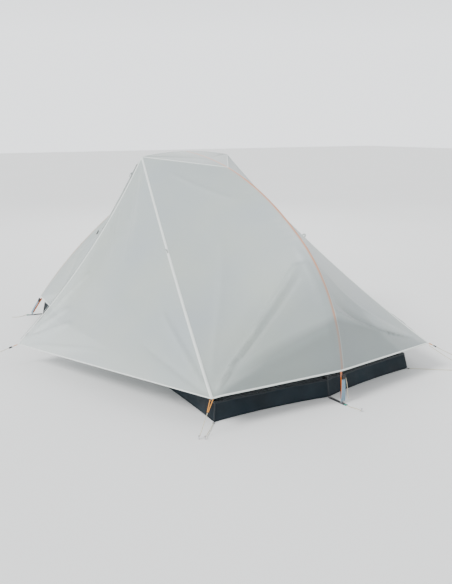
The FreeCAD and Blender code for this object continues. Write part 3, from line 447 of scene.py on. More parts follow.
def ridge(side, sign):
    return bowed(peak[side], tip[side], (-sign * 0.038, 0, -0.031))


def spine_line(t):
    """The fly over the spine, from the roof point down to the foot."""
    return spine.at(ROOF_POINT + (FOOT_BUCKLE - ROOF_POINT) * t, FLY_LIFT)


def roof_spine(t):
    """The fly over the spine, from the brow pole to the roof point."""
    lift = FLY_LIFT + (brow_top[2] - spine.at(SPINE_AT_BROW)[2] - FLY_LIFT) * (1 - t) ** 2
    return spine.at(SPINE_AT_BROW + (ROOF_POINT - SPINE_AT_BROW) * t, lift)


def brow_line(side):
    """The fly over the brow pole, from a peak to the middle."""
    start = peak[side]

    def line(t):
        drop = (brow_top[2] - start[2]) * (1 - t) ** 2
        return np.array([start[0] * (1 - t), start[1] + (BROW_LINE - start[1]) * t, brow_top[2] - drop])
    return line


def leg_line(side):
    """The fly over a leg pole, from the hub down to the head buckle."""
    leg = legs[side]
    outward = np.cross(UP, leg.along) * (1 if side == "left" else -1)

    def line(t):
        s = (leg.length - HEAD_BUCKLE) * t
        lift = 0.013 + 0.007 * math.exp(-s / 0.04)
        return leg.at(s, lift) + outward * 0.005 * (1 - math.exp(-s / 0.03))
    return line


def joined(first, second, share):
    """Two lines run one after the other, the first over that share of the way."""
    return lambda t: first(t / share) if t <= share else second((t - share) / (1 - share))


# ---------------------------------------------------------------- cloth panels

RIPPLE = 0.0012               # unevenness of stretched cloth
HELD_WIDTH = 0.05             # how far in from a sewn edge the cloth is held flat
FREE_HEM = 0.22               # share of the folds' height that reaches a free hem


class Panel:
    """A grid of points between four lines; rows run down it and columns across it."""

    def __init__(self, top, bottom, left, right, rows, columns):
        u = np.linspace(0, 1, rows + 1)[:, None, None]
        v = np.linspace(0, 1, columns + 1)[None, :, None]
        a = np.array([top(t) for t in v.ravel()])[None]
        b = np.array([bottom(t) for t in v.ravel()])[None]
        c = np.array([left(t) for t in u.ravel()])[:, None]
        d = np.array([right(t) for t in u.ravel()])[:, None]
        corners = ((1 - u) * (1 - v) * a[:, :1] + (1 - u) * v * a[:, -1:]
                   + u * (1 - v) * b[:, :1] + u * v * b[:, -1:])
        self.points = (1 - u) * a + u * b + (1 - v) * c + v * d - corners
        self.u, self.v = u[..., 0] + 0 * v[..., 0], v[..., 0] + 0 * u[..., 0]
        self.flat = self.unrolled()

    def unrolled(self):
        """Each point's place on the flat cloth: metres across and down from the panel's first corner."""
        across = np.linalg.norm(np.diff(self.points, axis=1), axis=2)
        down = np.linalg.norm(np.diff(self.points, axis=0), axis=2).mean(axis=1)
        x = np.concatenate([np.zeros((len(across), 1)), np.cumsum(across, axis=1)], axis=1)
        x -= x[:, -1:] / 2
        y = np.concatenate([[0], np.cumsum(down)])[:, None] + 0 * x
        return np.stack([x, y], axis=2)

    def normals(self, outward):
        du = np.gradient(self.points, axis=0)
        dv = np.gradient(self.points, axis=1)
        n = np.cross(du, dv)
        length = np.linalg.norm(n, axis=2, keepdims=True)
        n = n / np.maximum(length, 1e-12)
        if (n.mean(axis=(0, 1)) @ np.array(outward)) < 0:
            n = -n
        return n

    def belly(self, push):
        """Pushes the middle of the panel by a vector, leaving its edges where they are."""
        weight = (4 * self.v * (1 - self.v)) * np.sin(np.pi * self.u)
        self.points = self.points + weight[..., None] * np.array(push)

    def wrinkle(self, outward, folds, seed, free_bottom=True):
        """Folds of (u, v, u, v, width above, width below, height) in shares of the panel, and unevenness."""
        height = np.zeros(self.u.shape)
        for u0, v0, u1, v1, above, below, size in folds:
            a, b = self.flat_at(u0, v0), self.flat_at(u1, v1)
            run = b - a
            t = np.clip(((self.flat - a) @ run) / (run @ run), 0, 1)
            off = self.flat - a - t[..., None] * run
            away = np.linalg.norm(off, axis=2)
            bend = 0.006 * np.sin(t * 5 + seed)
            width = np.where(off[..., 1] + bend < 0, above, below) * (0.25 + 0.75 * t ** 0.7)
            height += size * np.exp(-np.maximum(away - 0.003, 0) / width) * np.sin(
                np.pi * np.clip(0.06 + 0.88 * t, 0, 1)) ** 0.5
        for i in range(height.shape[0]):
            for j in range(height.shape[1]):
                x, y = self.flat[i, j]
                height[i, j] += RIPPLE * noise.noise(Vector((x * 5, y * 3, seed)))
                height[i, j] += 0.35 * RIPPLE * noise.noise(Vector((x * 17, y * 13, seed + 7)))
        height += self.puckers(seed)
        height *= self.held(free_bottom)
        self.points = self.points + height[..., None] * self.normals(outward)

    def puckers(self, seed):
        """Short gathers that run into the panel from the seams at its sides."""
        width = np.abs(self.flat[:, -1:, 0] - self.flat[:, :1, 0])
        reach = np.minimum(self.v, 1 - self.v) * width
        wave = np.sin(self.flat[..., 1] * 95 + 3 * np.sin(self.flat[..., 1] * 13 + seed))
        return 0.0009 * wave * np.exp(-((reach - 0.03) / 0.025) ** 2)

    def held(self, free_bottom):
        """Nought at the edges that are sewn to a neighbour, rising to one a little way in."""
        width = np.abs(self.flat[:, -1:, 0] - self.flat[:, :1, 0])
        sides = np.minimum(self.v, 1 - self.v) * width
        from_bottom = self.flat[-1:, :, 1] - self.flat[..., 1]
        reach = np.clip(np.minimum(sides, self.flat[..., 1]) / HELD_WIDTH, 0, 1)
        hem = np.clip(from_bottom / HELD_WIDTH, 0, 1)
        hem = FREE_HEM + (1 - FREE_HEM) * hem if free_bottom else hem
        return reach * reach * (3 - 2 * reach) * hem

    def flat_at(self, u, v):
        """The place on the flat cloth at a share u down the panel and v across it."""
        grid, rows, columns = self.flat, self.flat.shape[0] - 1, self.flat.shape[1] - 1
        i, j = min(int(u * rows), rows - 1), min(int(v * columns), columns - 1)
        p, q = u * rows - i, v * columns - j
        return ((1 - p) * (1 - q) * grid[i, j] + (1 - p) * q * grid[i, j + 1]
                + p * (1 - q) * grid[i + 1, j] + p * q * grid[i + 1, j + 1])


def faces_of(rows, columns, start, flipped):
    """The faces of a grid whose first vertex is number start."""
    faces = []
    for i in range(rows):
        for j in range(columns):
            a = start + i * (columns + 1) + j
            face = (a, a + 1, a + columns + 2, a + columns + 1)
            faces.append(face[::-1] if flipped else face)
    return faces


def add_mesh(name, vertices, faces, material, smooth=True):
    mesh = bpy.data.meshes.new(name)
    mesh.from_pydata([tuple(v) for v in vertices], [], faces)
    mesh.validate()
    if smooth:
        mesh.polygons.foreach_set("use_smooth", [True] * len(mesh.polygons))
    mesh.materials.append(MATERIALS[material])
    made = bpy.data.objects.new(name, mesh)
    bpy.context.scene.collection.objects.link(made)
    return made


def add_sheet(name, panels, outward, body="tent"):
    """One sheet of fly cloth sewn from panels, welded where they share an edge."""
    vertices, faces, flats = [], [], []
    for panel, out in zip(panels, outward):
        rows, columns = panel.points.shape[0] - 1, panel.points.shape[1] - 1
        raw = np.cross(np.gradient(panel.points, axis=0), np.gradient(panel.points, axis=1)).mean(axis=(0, 1))
        faces += faces_of(rows, columns, len(vertices), flipped=raw @ np.array(out) > 0)
        vertices += list(panel.points.reshape(-1, 3))
        flats += list(panel.flat.reshape(-1, 2))
    made = add_mesh(name, vertices, faces, "fly_fabric")
    layer = made.data.uv_layers.new(name="cloth")
    index = np.zeros(len(made.data.loops), np.int32)
    made.data.loops.foreach_get("vertex_index", index)
    layer.data.foreach_set("uv", np.array(flats)[index].astype(np.float32).ravel())
    weld = made.modifiers.new("weld", "WELD")
    weld.merge_threshold = 0.0004
    bake(made)
    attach(made, body)
    return made


def bake(obj):
    """Applies an object's modifiers to its mesh."""
    evaluated = obj.evaluated_get(bpy.context.evaluated_depsgraph_get())
    mesh = bpy.data.meshes.new_from_object(evaluated)
    obj.modifiers.clear()
    old = obj.data
    obj.data = mesh
    bpy.data.meshes.remove(old)


# How finely the panels are divided: rows down them, and columns across each kind.
DOWN, ROOF_DOWN = 120, 40
ACROSS_FOOT, ACROSS_SIDE, ACROSS_HEAD, ACROSS_DOOR, BROW_COLUMNS, HUB_COLUMNS = 48, 76, 72, 44, 48, 6

# Tension folds: from and to in shares of the panel, widths above and below, height.
FOOT_FOLDS = {"left": [(1.0, 0.0, 0.62, 0.86, 0.009, 0.050, 0.030), (1.0, 0.03, 0.66, 0.84, 0.010, 0.010, -0.014),
                       (1.0, 0.0, 0.86, 0.96, 0.060, 0.080, 0.036), (0.55, 0.93, 0.9, 0.99, 0.02, 0.02, 0.006),
                       (0.08, 0.3, 0.26, 0.75, 0.02, 0.03, 0.005), (1.0, 0.0, 0.45, 0.45, 0.02, 0.04, 0.006)],
              "right": [(1.0, 0.0, 0.80, 0.97, 0.009, 0.060, 0.032), (1.0, 0.02, 0.76, 0.9, 0.010, 0.010, -0.013),
                        (1.0, 0.0, 0.66, 0.8, 0.018, 0.040, 0.012)]}
SIDE_FOLDS = [(1.0, 1.0, 0.845, 0.79, 0.008, 0.018, 0.020), (1.0, 1.0, 0.78, 0.867, 0.008, 0.016, 0.019),
              (1.0, 1.0, 0.60, 0.88, 0.010, 0.02, 0.014), (1.0, 0.0, 0.72, 0.16, 0.012, 0.025, 0.014),
              (1.0, 0.0, 0.86, 0.30, 0.014, 0.02, -0.010), (0.02, 0.5, 0.5, 0.55, 0.03, 0.03, 0.008),
              (0.25, 0.97, 0.5, 0.75, 0.010, 0.02, 0.009), (1.0, 1.0, 0.93, 0.55, 0.010, 0.02, 0.010)]
GORE_FOLDS = [(1.0, 1.0, 0.4, 0.3, 0.016, 0.03, 0.009), (1.0, 0.0, 0.3, 0.6, 0.016, 0.03, -0.008),
              (1.0, 0.0, 0.62, 0.9, 0.02, 0.04, 0.008)]
ROOF_FOLDS = [(0.4, 0.1, 0.6, 0.9, 0.02, 0.02, -0.004)]
HEAD_FOLDS = [(1.0, 0.0, 0.5, 0.40, 0.016, 0.04, 0.015), (1.0, 1.0, 0.52, 0.62, 0.016, 0.04, 0.014),
              (1.0, 0.0, 0.86, 0.45, 0.03, 0.05, 0.016), (1.0, 1.0, 0.86, 0.56, 0.03, 0.05, 0.016)]
DOOR_FOLDS = [(1.0, 1.0, 0.5, 0.4, 0.014, 0.03, 0.010), (1.0, 0.0, 0.5, 0.6, 0.014, 0.03, -0.008)]


def edge_of(panel, which, outward):
    """A panel's edge as three lists: its points, the way into the panel, and the normals."""
    points, normals = panel.points, panel.normals(outward)
    line, inside, normal = {"left": (points[:, 0], points[:, 2], normals[:, 1]),
                            "right": (points[:, -1], points[:, -3], normals[:, -2]),
                            "top": (points[0], points[2], normals[1]),
                            "bottom": (points[-1], points[-3], normals[-2])}[which]
    into = inside - line
    length = np.linalg.norm(into, axis=1)
    good = np.argmax(length > 0.002)
    into[:good] = into[good]
    normal = normal.copy()
    normal[:good + 1] = normal[good + 1]
    return line, into / np.linalg.norm(into, axis=1, keepdims=True), normal


def strip(name, rings, material, closed=False, body="tent"):
    """A mesh from rings of points, one ring at each station along it."""
    rings = np.array(rings)
    count, around = rings.shape[:2]
    faces = []
    for i in range(count - 1):
        for j in range(around if closed else around - 1):
            a, b = i * around + j, i * around + (j + 1) % around
            faces.append((a, b, b + around, a + around))
    if closed:
        faces += [tuple(range(around))[::-1], tuple(range((count - 1) * around, count * around))]
    made = add_mesh(name, rings.reshape(-1, 3), faces, material)
    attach(made, body)
    return made


def seam_tape(name, first, second=None, width=0.006, lift=0.0013, body="tent"):
    """Tape sewn over the seam between two panel edges, or folded round one free edge."""
    rings = []
    for i in range(len(first[0])):
        line, into, normal = first[0][i], first[1][i], first[2][i]
        if second is None:
            rings.append([line + into * width - normal * lift * 0.7, line - into * 0.0007 - normal * lift * 0.7,
                          line - into * 0.0007 + normal * lift * 0.7, line + into * width + normal * lift * 0.8,
                          line + into * (width + 0.0004)])
        else:
            other, far = second[1][i], second[2][i]
            crown = line + unit(normal + far) * lift * 1.2
            rings.append([line + into * (width + 0.0004), line + into * width + normal * lift, crown,
                          line + other * width + far * lift, line + other * (width + 0.0004)])
    return strip(name, rings, "seam", body=body)


# Tape on each side of the fly: its name, the panel edge it is sewn to, the neighbour's edge if there is one,
# and its width.
SIDE_TAPES = [("foot_seam", ("foot", "left"), ("near", "left"), 0.0075),
              ("roof_seam", ("roof", "bottom"), ("foot", "top"), 0.005),
              ("brow_seam", ("roof", "top"), ("gore", "top"), 0.005),
              ("zip_edge", ("near", "right"), None, 0.007),
              ("near_hem", ("near", "bottom"), None, 0.0065),
              ("foot_hem", ("foot", "bottom"), None, 0.0065),
              ("gore_hem", ("gore", "bottom"), None, 0.0065),
              ("gore_edge", ("gore", "left"), None, 0.007)]


def build_fly():
    """The flysheet, sewn from four panels on each side and one at the head, with its tapes."""
    made = {}

    def sew(key, panel, out, push, folds, seed, free_bottom=True):
        panel.belly(push)
        panel.wrinkle(out, folds, seed, free_bottom)
        made[key] = (panel, out)

    for side, sign in SIDES:
        seam, line = foot_seam(side, sign), led_from(over_hub, leg_line(side))
        at_peak = straight(peak[side], peak[side])
        to_point = straight(peak[side], roof_point)
        sew("foot_" + side,
            Panel(to_point, straight(corner[side], foot_end), seam, spine_line, DOWN, ACROSS_FOOT),
            (sign * 0.5, -1, 0.6), (-sign * 0.004, 0.008, -0.009), FOOT_FOLDS[side], sign * 3.0)
        sew("near_" + side,
            Panel(at_peak, straight(corner[side], tip[side]), seam, ridge(side, sign), DOWN, ACROSS_SIDE),
            (sign, -0.6, 0.6), (-sign * 0.012, 0.004, -0.010), SIDE_FOLDS, sign * 5.0)
        sew("roof_" + side,
            Panel(brow_line(side), to_point, at_peak, led_from(brow_top, roof_spine), ROOF_DOWN, BROW_COLUMNS),
            (0, 0, 1), (0, 0, -0.004), ROOF_FOLDS, sign * 7.0, free_bottom=False)
        columns = BROW_COLUMNS + HUB_COLUMNS
        top = joined(brow_line(side), straight(brow_top, over_hub), BROW_COLUMNS / columns)
        sew("gore_" + side,
            Panel(top, straight(door_foot[side], line(1.0)), straight(peak[side], door_foot[side]), line,
                  DOWN, columns),
            (sign, 0, 0.6), (-sign * 0.010, 0, -0.010), GORE_FOLDS, sign * 9.0)
    left, right = (led_from(over_hub, leg_line(side)) for side, sign in SIDES)
    sew("head",
        Panel(straight(over_hub, over_hub), bowed(left(1.0), right(1.0), (0, -0.03, 0.02)), left, right,
              DOWN, ACROSS_HEAD),
        (0, 1, 1), (0, -0.018, -0.022), HEAD_FOLDS, 11.0)

    def edge(key, which):
        return edge_of(made[key][0], which, made[key][1])

    for side, sign in SIDES:
        for name, (key, which), other, width in SIDE_TAPES:
            second = edge(other[0] + "_" + side, other[1]) if other else None
            seam_tape(name + "_" + side, edge(key + "_" + side, which), second, width)
    for side, sign in SIDES:
        seam_tape("leg_seam_" + side, edge("gore_" + side, "right"), edge("head", side), 0.004)
    seam_tape("head_hem", edge("head", "bottom"), None, 0.009)
    panels, outward = zip(*made.values())
    fly = add_sheet("flysheet", panels, outward)
    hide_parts("fly_foot_left", "fly_foot_right", "vestibule_foot_left", "vestibule_foot_right",
                "fly_roof", "fly_head", "fly_gore_left", "fly_gore_right")
    sheet_area(fly)


def sheet_area(obj):
    area = round(sum(p.area for p in obj.data.polygons), 3)
    print("area of", obj.name, area)
    return area


build_fly()


def build_door():
    """The closed head-side half of the right vestibule, on the body that swings."""
    clear = np.array([0.001, 0.004, 0.001])
    at_ridge = ridge("right", 1)
    door = Panel(straight(peak["right"], peak["right"]), straight(door_foot["right"], tip["right"] + clear),
                 straight(peak["right"], door_foot["right"]), lambda t: at_ridge(t) + clear * min(1, 8 * t),
                 DOWN, ACROSS_DOOR)
    out = (1, 0.6, 0.6)
    door.belly((-0.009, 0.004, -0.009))
    door.wrinkle(out, DOOR_FOLDS, seed=13.0)
    tapes = [seam_tape("door_hem", edge_of(door, "bottom", out), None, 0.009, body="door_right"),
             seam_tape("door_zip_edge", edge_of(door, "right", out), None, 0.007, body="door_right")]
    sheet = add_sheet("door_right_half", [door], [out], "door_right")
    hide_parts("door_right")
    sheet_area(sheet)


build_door()

# ---------------------------------------------------------------- straps


def strap_rings(route, width, thick, facing):
    """Rings of a flat strap with rounded edges along a route; its width may change from one to another."""
    route = [np.array(p, float) for p in route]
    width = width if isinstance(width, tuple) else (width, width)
    rings = []
    for i, p in enumerate(route):
        ahead = unit(route[min(i + 1, len(route) - 1)] - route[max(i - 1, 0)])
        across = unit(np.cross(np.array(facing, float), ahead))
        up = np.cross(ahead, across)
        w, t = (width[0] + (width[1] - width[0]) * i / (len(route) - 1)) / 2, thick / 2
        rings.append([p + across * x + up * y for x, y in
                      ((-w, -t * 0.4), (-w * 0.92, -t), (w * 0.92, -t), (w, -t * 0.4), (w, t * 0.4), (w * 0.92, t),
                       (-w * 0.92, t), (-w, t * 0.4))])
    return rings


def steps_between(a, b, bow=(0, 0, 0), count=12):
    """Points on a bowed line between two places."""
    line = bowed(np.array(a, float), np.array(b, float), bow)
    return [line(t) for t in np.linspace(0, 1, count)]


def add_strap(name, route, width, thick, facing, material):
    return strip(name, strap_rings(route, width, thick, facing), material, closed=True)


# ---------------------------------------------------------------- rolled door

ROLL_TURNS = 4.6              # so that the wound sheet has about the cloth of the closed door half
ROLL_RADIUS = 0.021 * 0.93
ROLL_STATIONS, ROLL_STEPS = 90, 120
ROLL_THICKNESS = ((0.0, 0.06, 0.25, 0.5, 0.75, 1.0), (0.30, 0.35, 0.75, 0.86, 1.1, 1.2))    # by share of the way down


def build_roll():
    """The left door half, rolled from its zip edge and tied along the edge of the gore."""
    top, foot = peak["left"], door_foot["left"]
    along = unit(foot - top)
    outward = unit(np.cross(along, np.array([0.0, 1.0, 0.0])))
    outward = outward if outward[0] < 0 else -outward
    across = np.cross(along, outward)
    rings = []
    for share in np.linspace(0.05, 1.0, ROLL_STATIONS):
        radius = ROLL_RADIUS * np.interp(share, *ROLL_THICKNESS)
        centre = top + (foot - top) * share + outward * 0.003 + np.array([0.012, -0.036, 0]) * min(1, share * 3)
        ring = []
        for angle in np.linspace(0, ROLL_TURNS * math.tau, ROLL_STEPS):
            grown = 0.15 + 0.85 * angle / (ROLL_TURNS * math.tau)
            lump = noise.noise(Vector((math.cos(angle) * 1.1, math.sin(angle) * 1.1, share * 9)))
            fine = noise.noise(Vector((math.cos(angle) * 3, math.sin(angle) * 3, share * 26)))
            size = radius * grown * (1 + 0.16 * lump + 0.07 * fine)
            ring.append(centre + outward * math.cos(angle) * size + across * math.sin(angle) * size)
        last, home = ring[-1], top + (foot - top) * share
        ring += [last + (home - last) * t + outward * 0.002 * math.sin(math.pi * t) for t in (0.3, 0.6, 0.97)]
        rings.append(ring)
    roll = strip("rolled_door", rings, "fly_fabric")
    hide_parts("door_left_roll")


build_roll()

# ---------------------------------------------------------------- bathtub floor

FOOT_HALF, HEAD_HALF, FLOOR_LENGTH, FOOT_BULGE = 0.576, 0.597, 2.110, 0.062
WALL_HEIGHT, WALL_LEAN, WALL_ROWS = 0.084, 0.014, 14
WALL_BOTTOM = 0.002
GROUND_RINGS = 6              # rings of the ground part, before the first one of the wall
FLOOR_CORNERS = 5             # the foot edge has one in its middle
OUTLINE_STEPS = 44            # points along each side of the outline
BINDING_WIDTH = 0.008


def floor_ring(height, inset):
    """The floor's outline at a height, drawn in by inset; its sides bow inwards."""
    foot, head, length = FOOT_HALF - inset, HEAD_HALF - inset, FLOOR_LENGTH - inset
    corners = [place(-foot, inset, height), place(0, inset - FOOT_BULGE, height), place(foot, inset, height),
               place(head, length, height), place(-head, length, height)]
    bows = [(0.005, 0.016, 0), (-0.005, 0.016, 0), (-0.050, 0, 0), (0, -0.012, 0), (0.050, 0, 0)]
    ring = []
    for i, bow in enumerate(bows):
        side = bowed(corners[i], corners[(i + 1) % FLOOR_CORNERS], bow)
        ring += [side(k / OUTLINE_STEPS) for k in range(OUTLINE_STEPS)]
    return np.array(ring)


def floor_rings():
    """Rings of the floor's cloth: the ground part, a rounded foot all round, and walls that lean in and wrinkle."""
    rings = [floor_ring(0.0015, FOOT_HALF * (1 - share)) for share in (0.04, 0.3, 0.6, 0.85, 0.95)]
    for ring in rings[:3]:
        ring[:, 0] *= 0.96
    rings += [floor_ring(0.0010, 0.008), floor_ring(WALL_BOTTOM, 0.002)]
    middle_of_side = np.abs(np.sin(np.arange(FLOOR_CORNERS * OUTLINE_STEPS) / OUTLINE_STEPS * math.pi))
    for row in range(1, WALL_ROWS + 1):
        share = row / WALL_ROWS
        ring = floor_ring(WALL_BOTTOM + (WALL_HEIGHT - WALL_BOTTOM) * share, WALL_LEAN * share)
        out = np.cross(np.roll(ring, -1, axis=0) - np.roll(ring, 1, axis=0), UP)
        out /= np.linalg.norm(out, axis=1, keepdims=True)
        run = np.cumsum(np.linalg.norm(np.roll(ring, -1, axis=0) - ring, axis=1))
        push = np.array([noise.noise(Vector((r * 9, share * 1.6, 2))) * 0.6
                         + noise.noise(Vector((r * 26 + share * 4, share * 3, 5))) * 0.3 for r in run])
        sag = push * 0.006 * share - 0.004 * math.sin(math.pi * share)
        ring = ring + out * (sag * middle_of_side ** 0.4)[:, None]
        ring[:, 2] -= 0.006 * share * middle_of_side * (1 + push)
        rings.append(ring)
    return rings


def bind_floor(rings):
    """The binding round the walls' top, and a seam up each corner."""
    count, top, below = len(rings[0]), rings[-1], rings[-2]
    edge = []
    for i in list(range(count)) + [0]:
        down = unit(below[i] - top[i])
        out = unit(np.cross(top[(i + 1) % count] - top[i - 1], UP))
        edge.append([top[i] + down * drop + out * side for drop, side in
                     ((BINDING_WIDTH, -0.001), (-0.0008, -0.001), (-0.0008, 0.001), (BINDING_WIDTH, 0.001))])
    made = [strip("floor_binding", edge, "webbing_dark")]
    middle = np.concatenate(rings).mean(axis=0) * (1, 1, 0)
    for k in range(FLOOR_CORNERS):
        i = k * OUTLINE_STEPS
        seam = []
        for ring in rings[GROUND_RINGS:]:
            p, before, after = ring[i], ring[i - 1], ring[i + 1]
            out = unit((p - middle) * (1, 1, 0))
            seam.append([p + unit(before - p) * 0.005 + out * 0.0004, p + out * 0.0016,
                         p + unit(after - p) * 0.005 + out * 0.0004])
        made.append(strip("floor_corner_%d" % k, seam, "webbing_dark"))
    return made


def build_floor():
    """One waterproof sheet, bound along its top."""
    rings = floor_rings()
    count = len(rings[0])
    faces = []
    for i in range(len(rings) - 1):
        for j in range(count):
            a, b = i * count + j, i * count + (j + 1) % count
            faces.append((a, b, b + count, a + count))
    faces.append(tuple(range(count))[::-1])
    sheet = add_mesh("bathtub_sheet", np.concatenate(rings), faces, "floor_fabric")
    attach(sheet, "tent")
    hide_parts("bathtub_floor")
    bind_floor(rings)


build_floor()

# ---------------------------------------------------------------- inner tent

INNER_GAP = 0.027             # inner tent below the poles' centre lines


def inner_anchor(side, sign):
    """Where the inner tent is held, on one side."""
    leg, top, lean = legs[side], WALL_HEIGHT + 0.003, WALL_LEAN + 0.004
    low, high = (np.array(c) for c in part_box("brow_pole"))
    return {"foot_corner": place(sign * (FOOT_HALF - lean - 0.006), lean, top - 0.006),
            "foot_middle": place(0, lean - FOOT_BULGE, top - 0.006),
            "head_corner": place(sign * (HEAD_HALF - lean - 0.008), FLOOR_LENGTH - 0.026, top - 0.006),
            "head_middle": place(0, FLOOR_LENGTH - 0.038, top - 0.006),
            "low": spine.at(0.500, -INNER_GAP), "mid": spine.at(0.930, -INNER_GAP),
            "high": spine.at(1.420, -INNER_GAP), "hub": hub - UP * (INNER_GAP + 0.016) + (0, 0.016, 0),
            "brow": np.array([sign * (high[0] - 0.052), BROW_LINE + 0.010, low[2] + 0.0044 - 0.052]),
            "leg": leg.at(leg.length * 0.52, -INNER_GAP - 0.030) - (sign * 0.050, 0, 0)}


INNER_FACETS = [("foot_corner", "low", "mid"), ("foot_corner", "mid", "high"), ("foot_corner", "high", "brow"),
                ("foot_corner", "brow", "head_corner"), ("brow", "leg", "head_corner"),
                ("foot_corner", "foot_middle", "low"), ("high", "hub", "brow"), ("hub", "leg", "brow"),
                ("hub", "head_middle", "leg"), ("leg", "head_middle", "head_corner")]
FACET_STEPS = 16
EASING_ROUNDS = 14
# The mesh door's zip is an arch: its middle and half sizes along Y and Z, and where it starts above the ground.
DOOR_ARCH = ((0.10, 0.60), (0.14, 0.52))
DOOR_ARCH_LOWEST = 0.10
DOOR_ARCH_STATIONS = 70


def build_inner():
    """The inner tent as one stretched skin: facets between its clips, eased until it curves like cloth."""
    vertices, faces, index = [], [], {}

    def vertex(p):
        key = tuple(np.round(p, 4))
        if key not in index:
            index[key] = len(vertices)
            vertices.append(p)
        return index[key]

    pinned, base_line = set(), set()
    for side, sign in SIDES:
        anchors = inner_anchor(side, sign)
        for names in INNER_FACETS:
            a, b, c = (anchors[n] for n in names)
            n = FACET_STEPS
            grid = {}
            for i in range(n + 1):
                for j in range(n + 1 - i):
                    grid[i, j] = vertex(a + (b - a) * i / n + (c - a) * j / n)
            for i in range(n):
                for j in range(n - i):
                    faces.append((grid[i, j], grid[i + 1, j], grid[i, j + 1]))
                    if i + j < n - 1:
                        faces.append((grid[i + 1, j], grid[i + 1, j + 1], grid[i, j + 1]))
        pinned |= {vertex(p) for p in anchors.values()}
        for ends in (("foot_corner", "foot_middle"), ("foot_corner", "head_corner"), ("head_corner", "head_middle")):
            a, b = (anchors[e] for e in ends)
            base_line |= {vertex(a + (b - a) * k / FACET_STEPS) for k in range(FACET_STEPS + 1)}
    points = np.array(vertices)
    edges = np.array(sorted({tuple(sorted((f[i], f[i - 1]))) for f in faces for i in range(3)}))
    fixed = np.array(sorted(pinned | base_line))
    for _ in range(EASING_ROUNDS):
        total, count = np.zeros_like(points), np.zeros(len(points))
        for one, other in ((0, 1), (1, 0)):
            np.add.at(total, edges[:, one], points[edges[:, other]])
            np.add.at(count, edges[:, one], 1)
        eased = points + 0.5 * (total / count[:, None] - points)
        eased[fixed] = points[fixed]
        points = eased
    for i, p in enumerate(points):
        if i not in pinned and i not in base_line:
            points[i] = p + 0.004 * noise.noise(Vector(p * 7)) * np.array([np.sign(p[0]), 0, 0])
    inner = add_mesh("inner_tent", points, faces, "inner_net")
    skin = BVHTree.FromPolygons([tuple(p) for p in points], faces)
    for side, sign in SIDES:
        found = []
        for angle in np.linspace(-0.25, math.pi + 0.05, DOOR_ARCH_STATIONS):
            (y, half_y), (z, half_z) = DOOR_ARCH
            y, z = y + half_y * math.cos(angle), z + half_z * math.sin(angle)
            place_on, normal = skin.ray_cast(Vector((sign * 1.5, y, z)), Vector((-sign, 0, 0)))[:2]
            if place_on is not None and z >= DOOR_ARCH_LOWEST:
                found.append((np.array(place_on), np.array(normal) * (1 if normal[0] * sign > 0 else -1)))
        route = [p + normal * 0.002 for p, normal in found]
        add_strap("inner_door_zip_" + side, route, 0.011, 0.0016, found[len(found) // 2][1],
                              "webbing_dark")
    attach(inner, "tent")
    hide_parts("inner_side_left", "inner_side_right", "inner_ends")
    sheet_area(inner)


build_inner()

# ---------------------------------------------------------------- webbing

STRAP_TOP = 0.118             # how far up the pole a strap reaches
STRAP_WIDTHS = (0.026, 0.019)
TAPE = 0.0016                 # thickness of webbing
STITCHES = 6                  # in a row


def stitches(name, centre, along, across, size, rows, material):
    """Rows of raised thread across a strap."""
    vertices, faces = [], []
    normal = np.cross(along, across)
    for row in range(rows):
        shift = (row - (rows - 1) / 2) * size[0] / max(rows - 1, 1)
        for k in range(STITCHES):
            side = (k - (STITCHES - 1) / 2) * size[1] / STITCHES
            middle = centre + along * shift + across * side
            base = len(vertices)
            half = (along * 0.0003, across * size[1] / 16, normal * 0.0003)
            for x, y, z in ((-1, -1, -1), (1, -1, -1), (1, 1, -1), (-1, 1, -1), (-0.6, -0.7, 1), (0.6, -0.7, 1),
                            (0.6, 0.7, 1), (-0.6, 0.7, 1)):
                vertices.append(middle + half[0] * x + half[1] * y + half[2] * z)
            for face in ((0, 3, 2, 1), (4, 5, 6, 7), (0, 1, 5, 4), (1, 2, 6, 5), (2, 3, 7, 6), (3, 0, 4, 7)):
                faces.append(tuple(base + f for f in face))
    made = add_mesh(name, vertices, faces, material)
    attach(made, "tent")


